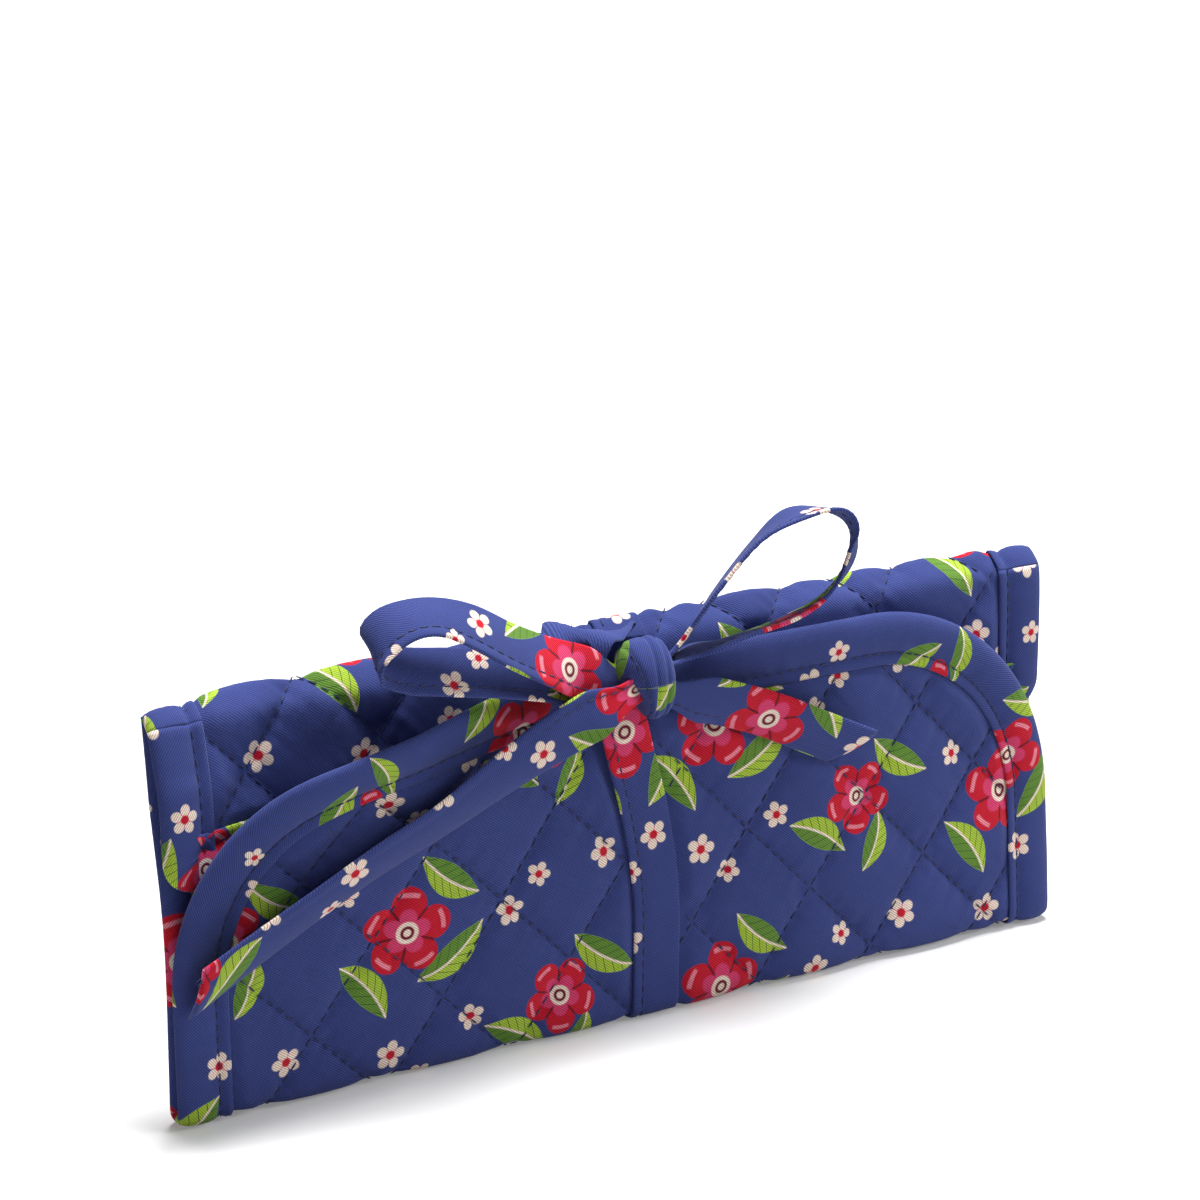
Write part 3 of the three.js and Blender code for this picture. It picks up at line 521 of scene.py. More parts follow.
JOINED = {
    "flap": ("base", "flap", (0, 0, 1.4), (0, -4.3, 8.6)),
    "back": ("base", "back", (0, 0, 1.4), (0, 5.1, 8.6)),
    "top_edge_left": ("back", "top", (0, 7.6, 95.4), (0, 3.6, 92.4)),
    "top_edge_right": ("back", "top", (0, 9.4, 96), (0, 4.6, 92.2)),
    "top_inside": ("back", "top", (0, 10.21, 94.45), (0, 10.35, 93.87)),
}


def tie_middle(s):
    route = np.array(TIE_ROUTE).T
    return sum(np.interp(s + step, *route) for step in TIE_EASE) / len(TIE_EASE)


def gathers(t, seam):
    """The uneven ripples of cloth drawn in by a thread, along a seam and different at each seam."""
    return sum(
        height * np.sin(pitch * t + shift * seam + start) for height, pitch, shift, start in GATHER_WAVES
    )


def quilt_lift(x, s):
    """The cloth's height over the stitched plane."""
    a, b = np.tensordot(SEAMS, np.stack([x - CORNER_AT[0], s - CORNER_AT[1]]), 1)
    seams = [(np.minimum(t % 1, 1 - t % 1) * SIDE, t, along) for t, along in ((a, b), (b, a))]
    lift = np.full(np.shape(a), PUFF)
    for away, _, _ in seams:
        lift = lift * (1 - np.exp(-np.maximum(away - SEAM_CHANNEL, 0) / SEAM_SLOPE))
    for away, count, along in seams:
        drawn = np.exp(-away / PUCKER_REACH) * (1 - np.exp(-away / PUCKER_FROM))
        lift = lift + PUCKER * drawn * gathers(along * SIDE, np.round(count))
    free = ease((inset(x, s) - BINDING + BINDING_OVERLAP) / BINDING_SLOPE)
    pressed = ease((np.abs(x - tie_middle(s)) - TIE_WIDTH / 2 + TIE_OVERLAP) / TIE_SLOPE)
    stood_on = 1 - STOOD_LOSS * ease((STOOD_REACH - np.abs(s - BASE_MIDDLE)) / STOOD_SLOPE)
    return CLOTH_LIFT + lift * free * np.maximum(pressed, UNDER_TIE) * stood_on


def close_rows(coarse, fine):
    """Places along the cloth, closer together at the folds, with one at each place where it is split."""
    rows = np.concatenate(
        [np.arange(UNDER_BINDING, LEAF_TIP - UNDER_BINDING, coarse)]
        + [np.arange(at - FOLD_REACH, at + FOLD_REACH, fine) for at in FOLDS_AT[1:-1]]
        + [SPLITS]
    )
    rows = np.sort(rows)
    least = fine * CLOSEST
    wanted = np.isin(rows, SPLITS)
    clear = np.array([abs(rows[wanted] - row).min() > least for row in rows])
    rows = rows[clear | wanted]
    return rows[np.r_[True, np.diff(rows) > least]]


def quilt_top_at(x, s):
    return panel_spot(x, s, quilt_lift(x, s))[0]


def grid_faces(rows, columns, around=False):
    """The four-cornered faces between rows of places, closed into rings where they go around."""
    number = np.arange(rows * columns).reshape(rows, columns)
    if around:
        number = np.c_[number, number[:, :1]]
    cells = [number[:-1, :-1], number[:-1, 1:], number[1:, 1:], number[1:, :-1]]
    return np.stack(cells, -1).reshape(-1, 4)


quilt_half = HALF_WIDTH - UNDER_BINDING
quilt_x, quilt_s = np.meshgrid(
    np.linspace(-quilt_half, quilt_half, QUILT_COLUMNS), close_rows(ROW_STEP, FOLD_STEP), indexing="ij"
)
quilt_top = quilt_top_at(quilt_x, quilt_s)
quilt_out = panel_spot(quilt_x, quilt_s, 0)[1]
quilt_normal = unit(
    np.cross(
        quilt_top_at(quilt_x, quilt_s + NORMAL_STEP) - quilt_top_at(quilt_x, quilt_s - NORMAL_STEP),
        quilt_top_at(quilt_x + NORMAL_STEP, quilt_s) - quilt_top_at(quilt_x - NORMAL_STEP, quilt_s),
    )
)
quilt_low = panel_spot(quilt_x, quilt_s, -WADDING)[0]
kept = (inset(quilt_x, quilt_s) > UNDER_BINDING - EDGE_SLACK).ravel()
quilt_faces = grid_faces(*quilt_x.shape)
quilt_faces = quilt_faces[kept[quilt_faces].all(1)]
face_s = quilt_s.ravel()[quilt_faces[:, [0, 2]]].mean(1)


def stands_for(thing, slot, *nodes):
    """Shows a piece in place of its solids by hiding them; the slot is not used."""
    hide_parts(*nodes)


def bend(thing, part):
    """Puts a piece on its part's empty, so that it turns with that part of the panel. The pieces of the flap
    and the back, and the top's edges and lining, stay where they are, with their places baked into their
    meshes, and the leaf's pieces get meshes of their own."""
    if part in JOINED:
        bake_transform(thing)
    else:
        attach(thing, part)
    if part == "leaf":
        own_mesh(thing)


def shell(name, faces):
    """One stretch of the quilt, closed all round: its cloth, the back of its wadding, and its cut edge, the
    last two in plain navy."""
    used, index = np.unique(faces, return_inverse=True)
    index = index.reshape(faces.shape)
    count = len(used)
    edges = np.concatenate([index[:, [k, (k + 1) % 4]] for k in range(4)])
    _, first, uses = np.unique(np.sort(edges, axis=1), axis=0, return_index=True, return_counts=True)
    rim = edges[first[uses == 1]]
    walls = np.stack([rim[:, 1], rim[:, 0], rim[:, 0] + count, rim[:, 1] + count], 1)
    spots = np.r_[quilt_top.reshape(-1, 3)[used], quilt_low.reshape(-1, 3)[used]]
    flat = np.stack([quilt_x.ravel()[used], quilt_s.ravel()[used]], 1)
    normals = np.r_[quilt_normal.reshape(-1, 3)[used], -quilt_out.reshape(-1, 3)[used]]
    closed = np.r_[index, index[:, ::-1] + count, walls].tolist()
    thing = piece(name, spots, closed, print_cotton, np.r_[flat, flat], normals)
    cloth = thing.data.uv_layers["cloth"].data
    places = np.zeros(2 * len(cloth))
    cloth.foreach_get("uv", places)
    unprinted = places.reshape(-1, 2)[index.size :]
    unprinted[:] = unprinted * PLAIN_SHARE + PLAIN_SPOT
    cloth.foreach_set("uv", places)
    return thing


quilts = {}
for stretch, nodes in (
    ("flap", ("flap_quilt", "base_quilt")),
    ("back", ("back_quilt",)),
    ("top", ("top_quilt",)),
    ("leaf", ("leaf_quilt",)),
):
    low_s, high_s = STRETCHES[stretch]
    quilts[stretch] = shell(f"{stretch}_quilting", quilt_faces[(face_s >= low_s) & (face_s < high_s)])
    stands_for(quilts[stretch], "print_cotton", *nodes)
    bend(quilts[stretch], stretch)

# The lining: plain navy cotton laid over the back of the wadding and caught in the binding all round. The
# top strip and the leaf have theirs drawn straight to the fold between them, so that they meet laid open.
LINING_DEPTH, LINING_IN, STRAIGHT_FROM = 1.15, 5, 3.2
LINING_COLUMNS, LINING_STEP = 92, 2
lining_cotton = cotton("lining_cotton", linear(52, 61, 104), linear(44, 52, 92), printed=False, twill=0.06)


def inner_spot(x, s, lift, low_s, high_s, share):
    """A place in one stretch of the panel, with its inner layers drawn straight to the folds at its ends."""
    x, s, lift = fields(x, s, lift)
    near_s = np.clip(s, low_s + STRAIGHT_FROM, high_s - STRAIGHT_FROM)
    straight = panel_spot(x, near_s, lift)[0] + (s - near_s)[..., None] * unit(way_along(x, near_s))
    bent = panel_spot(x, s, lift)[0]
    return bent + share * np.clip(-lift, 0, 1)[..., None] * (straight - bent)


def laid(name, xs, ss, depth, material, ends=(BEFORE, BEYOND)):
    """A sheet laid on the inside of the panel over a field of x and s, cut to the panel's outline."""
    x, s = np.meshgrid(xs, ss, indexing="ij")
    faces = grid_faces(*x.shape)
    within = (inset(x, s) > LINING_IN).ravel()
    faces = faces[within[faces].all(1)]
    spots = inner_spot(x, s, -depth, *ends, 1.0)
    used, index = np.unique(faces[:, ::-1], return_inverse=True)
    flat = np.stack([x, s], -1).reshape(-1, 2)[used]
    return piece(name, spots.reshape(-1, 3)[used], index.reshape(faces.shape).tolist(), material, flat)


linings = {}
lining_half = HALF_WIDTH - LINING_IN
for stretch, nodes, low_s, high_s, ends in (
    ("flap", ("flap_lining", "base_lining"), LINING_IN, BASE_MIDDLE, (BEFORE, BEYOND)),
    ("back", ("back_lining",), BASE_MIDDLE, TOP_FOLD, (BEFORE, BEYOND)),
    ("top", ("top_lining",), TOP_FOLD, LEAF_FOLD, (BEFORE, LEAF_FOLD)),
    ("leaf", ("leaf_lining",), LEAF_FOLD, LEAF_TIP - LINING_IN, (LEAF_FOLD, BEYOND)),
):
    rows = np.linspace(low_s, high_s, int((high_s - low_s) / LINING_STEP))
    columns = np.linspace(-lining_half, lining_half, LINING_COLUMNS)
    linings[stretch] = laid(f"{stretch}_inside", columns, rows, LINING_DEPTH, lining_cotton, ends)
    stands_for(linings[stretch], "lining_cotton", *nodes)
    bend(linings[stretch], "top_inside" if stretch == "top" else stretch)

# The binding: a long strip of the printed cotton cut on the bias, folded round the panel's edge and sewn
# through near its inner edge. It rolls over the wadding, dips at the stitches, and ends in a low lip.
SEWN_AT, INNER_SHARE = 10.0, 0.6
BINDING_SECTION = np.array([
    (12.4, 0.3), (12.85, 0.8), (12.5, 1.15), (11.5, 1.05), (10.6, 0.7), (10, 0.32), (9.4, 0.58), (8.4, 1.05),
    (6.8, 1.4), (4.6, 1.5), (2.4, 1.25), (0.8, 0.7), (0.05, -0.1), (0, -0.5), (0.3, -1), (1.2, -1.7),
    (3, -2.2), (5, -2.35), (7, -2.3), (8.8, -2.05), (10, -1.8), (11, -2), (12.3, -2.05), (12.6, -1.75),
    (12, -1.55), (2.2, -1.5), (0.7, -0.5), (2.2, 0.1), (12, 0.1),
])
DRAWN, DRAWN_AT, DRAWN_REACH, DRAWN_PITCH = 0.16, 1.5, 2.0, 0.9
PRINT_ALONG, PRINT_ACROSS = 31, 17


def edge_route(start, end, corner, step):
    """The panel's cut edge round one end of it: places across and along the cloth, and the way inwards."""
    turn = 1 if end > start else -1
    mirror = np.array([-1, 1])
    side = np.arange(0, abs(end - start) - corner, step)
    arc = np.linspace(0, math.pi / 2, int(corner * math.pi / 2 / step))
    half_end = HALF_WIDTH - corner
    over = np.linspace(-half_end, half_end, int(2 * half_end / step))[1:-1]
    half = np.r_[
        np.stack([np.full(len(side), -HALF_WIDTH), start + turn * side], 1),
        np.stack([-half_end - corner * np.cos(arc), end - turn * corner * (1 - np.sin(arc))], 1),
    ]
    half_in = np.r_[np.tile([1.0, 0.0], (len(side), 1)), np.stack([np.cos(arc), -turn * np.sin(arc)], 1)]
    route = np.r_[half, np.stack([over, np.full(len(over), end)], 1), half[::-1] * mirror]
    inward = np.r_[half_in, np.tile([0.0, -turn], (len(over), 1)), half_in[::-1] * mirror]
    return route, inward


def side_route(side, start, end, step):
    along = np.linspace(start, end, int(abs(end - start) / step) + 1)
    route = np.stack([np.full(len(along), side * HALF_WIDTH), along], 1)
    return route, np.tile([-float(side), 0.0], (len(along), 1))


def swept(name, rings, flat, material):
    """A closed band from rings of places, with both its ends capped and its faces turned outwards."""
    rows, columns = rings.shape[:2]
    faces = grid_faces(rows, columns, around=True).tolist()
    faces += [list(range(columns)), list(range((rows - 1) * columns, rows * columns))]
    thing = piece(name, rings, faces, material, flat)
    work = bmesh.new()
    work.from_mesh(thing.data)
    bmesh.ops.recalc_face_normals(work, faces=work.faces)
    work.to_mesh(thing.data)
    work.free()
    return thing


def bind(name, route, inward, count, ends):
    """One binding along a route, each with its own stretch of the print."""
    far = travelled(route)[:, None]
    depth, height = BINDING_SECTION.T[:, None]
    drawn = np.exp(-np.abs(depth - SEWN_AT + DRAWN_AT) / DRAWN_REACH) * (depth < SEWN_AT)
    lift = height + DRAWN * drawn * gathers(far * DRAWN_PITCH, count) * np.sign(height)
    x, s = (route[:, k : k + 1] + inward[:, k : k + 1] * depth for k in (0, 1))
    around = travelled(BINDING_SECTION)[None]
    flat = np.stack(np.broadcast_arrays(far + count * PRINT_ALONG, around + count * PRINT_ACROSS), -1)
    return swept(name, inner_spot(x, s, lift, *ends, INNER_SHARE), flat, print_cotton)


edges = [
    (
        "flap", "flap_edge", edge_route(BASE_MIDDLE, 0, FLAP_CORNER, step=1.4),
        ("flap_binding", "base_binding_left", "base_binding_right"), (BEFORE, BEYOND),
    )
]
for stretch, step, before in (("back", 1.0, BEFORE), ("top", 0.5, TOP_FOLD)):
    low_s, high_s = STRETCHES[stretch]
    for side, hand in ((-1, "left"), (1, "right")):
        route = side_route(side, low_s, high_s, step)
        nodes = (f"{stretch}_binding_{hand}",)
        edges.append((stretch, f"{stretch}_edge_{hand}", route, nodes, (before, high_s)))
leaf_route = edge_route(LEAF_FOLD, LEAF_TIP, LEAF_CORNER, step=1.0)
edges.append(("leaf", "leaf_edge", leaf_route, ("leaf_binding",), (LEAF_FOLD, BEYOND)))

bindings = {}
for count, (stretch, name, route, nodes, ends) in enumerate(edges, 1):
    thing = bind(name, *route, count, ends)
    bindings.setdefault(stretch, []).append(thing)
    stands_for(thing, "binding_cotton", *nodes)
    bend(thing, name if name in JOINED else stretch)

# The sewing thread: navy polyester, in rows of short stitches that sink a little into the cloth. They run
# along every seam of the quilting on its outer face, and along the binding's inner edge on both faces.
STITCH, STITCH_GAP, THREAD, THREAD_FLAT = 2.3, 0.8, 0.42, 0.8
PLY_SCALE, PLY_SHADE, BEAD_SIDES, BEAD_RINGS = 2500.0, 0.7, 8, 5
STITCHES_A_SIDE, STITCH_CLEAR = 8, 0.6
SEAM_LIFT, BINDING_LIFT, INSIDE_LIFT = 0.36, 0.55, -1.98


def thread_material(name, colour):
    """Spun thread or nylon, a little darker between its plies."""
    material, tree = blank_material(name)
    spot = place(tree, "ShaderNodeTexCoord").outputs["Object"]
    ply = noise(tree, spot, PLY_SCALE, 2.0, 0.5)
    dark = tuple(c * PLY_SHADE for c in colour[:3]) + (1,)
    surface(tree, Base_Color=paint(tree, ply, dark, colour), Roughness=0.55, Specular_IOR_Level=0.35)
    return material


navy_thread = thread_material("navy_thread", linear(36, 43, 84))


def row_tree(name, shape):
    """Puts one small form, a bead or a block, on each point, laid along and up by the points' own ways."""
    tree = bpy.data.node_groups.new(name, "GeometryNodeTree")
    give(tree, "OUTPUT", Geometry="Geometry")
    give(tree, "INPUT", Geometry="Geometry", Length="Float", Width="Float", Height="Float")
    give(tree, "INPUT", Material="Material")
    given = place(tree, "NodeGroupInput").outputs
    if shape == "bead":
        form = wire(tree, "GeometryNodeMeshUVSphere", BEAD_SIDES, BEAD_RINGS, 0.5)
    else:
        form = wire(tree, "GeometryNodeMeshCube", (1, 1, 1))
    size = wire(tree, "ShaderNodeCombineXYZ", given["Length"], given["Width"], given["Height"])
    sized = wire(tree, "GeometryNodeTransform", form, named={"Scale": size})
    ways = [
        wire(tree, "GeometryNodeInputNamedAttribute", way, data_type="FLOAT_VECTOR")
        for way in ("along", "up")
    ]
    facing = wire(tree, "FunctionNodeAxesToRotation", *ways, primary_axis="X", secondary_axis="Z")
    laid_out = {"Instance": sized, "Rotation": facing}
    row = wire(tree, "GeometryNodeInstanceOnPoints", given["Geometry"], named=laid_out)
    real = wire(tree, "GeometryNodeRealizeInstances", row)
    rounded = {"Shade Smooth": shape == "bead"}
    smooth = wire(tree, "GeometryNodeSetShadeSmooth", real, named=rounded)
    coat = {"Material": given["Material"]}
    coated = wire(tree, "GeometryNodeSetMaterial", smooth, named=coat)
    place(tree, "NodeGroupOutput", coated)
    return tree


def set_row(name, tree, spots, along, up, sizes, material):
    """Turns a list of places and ways into one plain mesh of the tree's forms."""
    mesh = bpy.data.meshes.new(name + "_places")
    mesh.from_pydata((np.asarray(spots) * MM).tolist(), [], [])
    for way, values in (("along", along), ("up", up)):
        layer = mesh.attributes.new(way, "FLOAT_VECTOR", "POINT")
        layer.data.foreach_set("vector", np.asarray(values, float).ravel())
    holder = show(mesh, name + "_places")
    modifier = holder.modifiers.new("row", "NODES")
    modifier.node_group = tree
    sockets = {s.name: s.identifier for s in tree.interface.items_tree if s.in_out == "INPUT"}
    for socket, value in zip(("Length", "Width", "Height"), sizes):
        modifier[sockets[socket]] = value * MM
    modifier[sockets["Material"]] = material
    plain = bpy.data.meshes.new_from_object(holder.evaluated_get(bpy.context.evaluated_depsgraph_get()))
    holder.modifiers.remove(modifier)
    bpy.data.objects.remove(holder)
    plain.name = name
    return show(plain, name)


STITCHES = row_tree("stitches", "bead")


def stitch_row(name, spots, along, up):
    return set_row(name, STITCHES, spots, along, up, (STITCH, THREAD, THREAD * THREAD_FLAT), navy_thread)


sewn = {}


def sew(part, x, s, lift, face=1):
    """Notes stitches at places on the panel, each with its way along the row and its way up."""
    if len(x) < 3:
        return
    spots, out = panel_spot(x, s, lift)
    sewn.setdefault(part, []).append((spots, row_ways(spots), face * out))


panel_corners = np.array([(x, s) for x in (-HALF_WIDTH, HALF_WIDTH) for s in (0, LEAF_TIP)])
corner_counts = SEAMS @ (panel_corners - CORNER_AT).T
first = np.floor(corner_counts.min(1)).astype(int)
last = np.ceil(corner_counts.max(1)).astype(int)
for way in (0, 1):
    steps = np.arange(first[1 - way], last[1 - way], 1 / STITCHES_A_SIDE) + 0.5 / STITCHES_A_SIDE
    for seam in range(first[way], last[way] + 1):
        counts = [np.full(len(steps), seam), steps]
        x, s = CORNER_AT[:, None] + SIDES @ np.stack(counts if way == 0 else counts[::-1])
        inner = inset(x, s) > BINDING + STITCH_CLEAR
        inner &= np.abs(x - tie_middle(s)) > TIE_WIDTH / 2 + STITCH_CLEAR
        for stretch, (low_s, high_s) in STRETCHES.items():
            here = inner & (s >= low_s) & (s < high_s)
            sew(stretch, x[here], s[here], SEAM_LIFT)
for stretch, name, (route, inward), *_ in edges:
    far = travelled(route)
    marks = np.arange(STITCH, far[-1], STITCH + STITCH_GAP)
    x, s = (np.interp(marks, far, route[:, k] + inward[:, k] * SEWN_AT) for k in (0, 1))
    part = name if name in JOINED else stretch
    sew(part, x, s, BINDING_LIFT)
    sew(part, x, s, INSIDE_LIFT, -1)
for part, rows in sewn.items():
    stitches = stitch_row(f"{part}_stitches", *(np.concatenate(values) for values in zip(*rows)))
    bend(stitches, part)

# The pockets: plain lining cotton sewn over the lining, one on the flap and one on the back, each with a
# narrow facing strip on the other side of its zip.
POCKET_DEPTH, POCKET_HALF, POCKET_COLUMNS, POCKET_STEP, POCKET_ROWS = 2.9, 111.2, 90, 1.5, 4
for name, body, low_s, high_s in (
    ("flap_pocket", "flap", 35.1, 64.2),
    ("flap_pocket_facing", "flap", 80.0, 83.1),
    ("back_pocket", "back", 102.7, 122.7),
    ("back_pocket_facing", "back", 138.5, 142.0),
):
    columns = np.linspace(-POCKET_HALF, POCKET_HALF, POCKET_COLUMNS)
    rows = np.linspace(low_s, high_s, max(POCKET_ROWS, int((high_s - low_s) / POCKET_STEP)))
    thing = laid(name + "_cloth", columns, rows, POCKET_DEPTH, lining_cotton)
    stands_for(thing, "lining_cotton", name)
    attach(thing, body)
    if not name.endswith("facing"):
        flat = (2 * POCKET_HALF * MM, (high_s - low_s) * MM)

# The zips: two woven tapes with moulded nylon teeth that mesh down the middle, metal stops at both ends, and
# a plated slider with its pull tab.
ZIP_DEPTH, TAPE_HALF, TAPE_COLUMNS, TAPE_ROWS = 2.95, 107.2, 80, 5
TEETH_HALF, TOOTH_PITCH, TOOTH = 103.4, 1.6, (0.95, 2.7, 1.1)
METAL_EDGE, MERGED, FLAT_ANGLE, EDGE_ANGLE = 0.12, 1e-6, 0.02, 0.6
SCRATCH_SCALE, SCRATCH_DEPTH = 900.0, 0.00005
zip_tape = cotton(
    "zip_tape", linear(40, 47, 84), linear(34, 40, 74), printed=False, twill=0.09, roughness=0.75
)
nylon = thread_material("zip_nylon", linear(38, 45, 86))
TEETH = row_tree("zip_teeth", "block")
for body, tapes, teeth in (
    ("flap", (("upper", 64.4, 69.4), ("lower", 74.8, 79.8)), (70.55, 73.45)),
    ("back", (("upper", 133.3, 138.3), ("lower", 122.9, 127.9)), (131.85, 128.95)),
):
    for side, low_s, high_s in tapes:
        columns = np.linspace(-TAPE_HALF, TAPE_HALF, TAPE_COLUMNS)
        rows = np.linspace(low_s, high_s, TAPE_ROWS)
        tape = laid(f"{body}_tape_{side}", columns, rows, ZIP_DEPTH, zip_tape)
        stands_for(tape, "zip_tape", f"{body}_zip_tape_{side}")
        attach(tape, body)
    rows = []
    for count, s_row in enumerate(teeth):
        x = np.arange(-TEETH_HALF + count * TOOTH_PITCH / 2, TEETH_HALF, TOOTH_PITCH)
        spots, out = panel_spot(x, s_row, -ZIP_DEPTH)
        rows.append((spots, row_ways(spots), out))
    joined = (np.concatenate(values) for values in zip(*rows))
    row = set_row(f"{body}_teeth", TEETH, *joined, TOOTH, nylon)
    stands_for(row, "zip_teeth", f"{body}_zip_teeth_upper", f"{body}_zip_teeth_lower")
    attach(row, body)


def nickel_plate():
    """Bright plated metal with fine scratches that dull it a little."""
    material, tree = blank_material("nickel_plate")
    spot = place(tree, "ShaderNodeTexCoord").outputs["Object"]
    scratches = noise(tree, spot, SCRATCH_SCALE, 4.0, 0.6)
    colour = paint(tree, scratches, linear(176, 174, 170), linear(222, 220, 214))
    rough = wire(tree, "ShaderNodeMapRange", scratches, 0.3, 0.7, 0.18, 0.36)
    worn = relief(tree, scratches, SCRATCH_DEPTH, 0.15)
    surface(tree, Base_Color=colour, Metallic=1.0, Roughness=rough, Normal=worn)
    return material


nickel = nickel_plate()


def eased_copy(node):
    """A copy of a solid with its edges eased, as plating and tumbling leave them."""
    thing = show(bpy.data.objects[node].data.copy(), node + "_eased")
    work = bmesh.new()
    work.from_mesh(thing.data)
    bmesh.ops.remove_doubles(work, verts=work.verts, dist=MERGED)
    bmesh.ops.dissolve_limit(work, angle_limit=FLAT_ANGLE, verts=work.verts, edges=work.edges)
    work.to_mesh(thing.data)
    work.free()
    rounding = thing.modifiers.new("edge", "BEVEL")
    rounding.width, rounding.segments = METAL_EDGE * MM, 2
    rounding.limit_method, rounding.angle_limit = "ANGLE", EDGE_ANGLE
    rounding.use_clamp_overlap = True
    plain = bpy.data.meshes.new_from_object(thing.evaluated_get(bpy.context.evaluated_depsgraph_get()))
    thing.modifiers.remove(rounding)
    thing.data = plain
    plain.materials.clear()
    plain.materials.append(nickel)
    stands_for(thing, "nickel", node)
    return thing


for name in ("flap", "back"):
    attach(eased_copy(f"{name}_zip_slider"), f"{name}_slider")
    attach(eased_copy(f"{name}_zip_pull"), f"{name}_pull")
    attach(eased_copy(f"{name}_zip_stop_closed"), name)
    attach(eased_copy(f"{name}_zip_stop_open"), name)

# The ring bar: a stuffed tube of deep red cotton on the back panel. One end is sewn to an anchor patch, and
# the other has a tab with a press stud, so that rings slide on and off.
BAR_FROM, BAR_LONG, BAR_RADIUS, BAR_ROUND = -42.0, 72.0, 2.15, 2.6
BAR_GATHER, BAR_GATHERS, BAR_GATHERED, BAR_TIP, BAR_WRAP = 0.05, 9, 4, 0.02, 2.2
BAR_LUMP, BAR_LUMPS, BAR_LUMP_TURN, BAR_COLUMNS, BAR_TURNS, PATCH_TURNS = 0.02, 41, 1, 73, 32, 48
BACK_UP, BACK_OUT = np.array([0, 0.07212, 0.9974]), np.array([0, 0.9974, -0.07212])
PATCH_RINGS = [(0.02, 0.22), (0.4, 0.22), (0.75, 0.2), (0.93, 0.24), (1, 0.1)]
PATCH_SQUARE = 6
pad_cotton = cotton("pad_cotton", linear(150, 22, 44), linear(128, 16, 36), printed=False, twill=0.06)


def box_of(node):
    return (np.array(corner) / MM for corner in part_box(node))


def rings_by_turns(rings, count):
    return np.meshgrid(rings, np.linspace(0, 2 * math.pi, count, endpoint=False), indexing="ij")


low, high = box_of("ring_bar")
bar_middle = (low + high) / 2
along, turn = rings_by_turns(np.linspace(0, 1, BAR_COLUMNS), BAR_TURNS)
from_end = np.minimum(along, 1 - along) * BAR_LONG
gathered = 1 + BAR_GATHER * np.exp(-from_end / BAR_GATHERED) * np.sin(BAR_GATHERS * turn)
lumps = 1 + BAR_LUMP * np.sin(along * BAR_LUMPS) * np.sin(turn + BAR_LUMP_TURN)
radius = BAR_RADIUS * np.minimum(1, (from_end / BAR_ROUND) ** 0.5) * gathered * lumps + BAR_TIP
bar_y, bar_z = bar_middle[1] + radius * np.cos(turn), bar_middle[2] + radius * np.sin(turn)
rings = np.stack([BAR_FROM + along * BAR_LONG, bar_y, bar_z], -1)
flat = np.stack([along * BAR_LONG, turn * BAR_WRAP], -1)
bar = swept("ring_bar_stuffed", rings, flat, pad_cotton)
stands_for(bar, "pad_cotton", "ring_bar")
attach(bar, "ring_bar")
for node, body in (("ring_bar_anchor", "back"), ("ring_bar_tab", "ring_bar")):
    low, high = box_of(node)
    rings = np.array(PATCH_RINGS + [(ring, -rise) for ring, rise in PATCH_RINGS[::-1]])
    ring, turn = rings_by_turns(rings[:, 0], PATCH_TURNS)
    corner = np.abs(np.cos(turn)) ** PATCH_SQUARE + np.abs(np.sin(turn)) ** PATCH_SQUARE
    reach = ring * corner ** (-1 / PATCH_SQUARE)
    x = reach * np.cos(turn) * (high[0] - low[0]) / 2
    up_to = reach * np.sin(turn) * (high[2] - low[2]) / 2
    spots = (low + high) / 2 + x[..., None] * [1, 0, 0] + up_to[..., None] * BACK_UP
    spots = spots + rings[:, 1, None, None] * BACK_OUT
    patch = swept(node + "_cloth", spots, np.stack([x, up_to], -1), pad_cotton)
    stands_for(patch, "pad_cotton", node)
    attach(patch, body)
for node in ("snap_stud", "snap_socket", "snap_cap"):
    bpy.data.objects[node].material_slots[0].material = nickel

# The tie: a 12.5 mm strip of the same cotton, folded lengthwise and edge-stitched on one side. It runs
# from the knot down the front, under the bottom, up the back and over the top fold.
TIE_THICK, TIE_STITCH_AT = 1.0, -0.6 * TIE_WIDTH / 2
TIE_LIFT, TIE_RISE, RISE_FROM, RISE_OVER = 0.72, 2.0, 48, 40
TIE_STEP, TIE_ROWS, TIE_PRINT_AT = 1.2, 12, 20
SEWN_FROM, RUN_SEWN_TO, STRIP_SEWN_TO, STRIP_SUNK = 2, 1, 2, 0.45
TIE_SECTION = np.array([
    (-1, 0), (-0.98, 0.35), (-0.9, 0.5), (-0.7, 0.5), (-0.6, 0.34), (-0.5, 0.5), (-0.2, 0.56), (0.2, 0.58),
    (0.6, 0.54), (0.9, 0.5), (0.98, 0.35), (1, 0), (0.98, -0.35), (0.9, -0.5), (0.2, -0.5), (-0.5, -0.5),
    (-0.6, -0.34), (-0.7, -0.5), (-0.9, -0.5), (-0.98, -0.35),
])


def tie_flat(far, width, shift):
    """The print's places on the tie, along it and across it."""
    return np.stack(np.broadcast_arrays(far[:, None], TIE_SECTION[None, :, 0] * width + shift), -1)


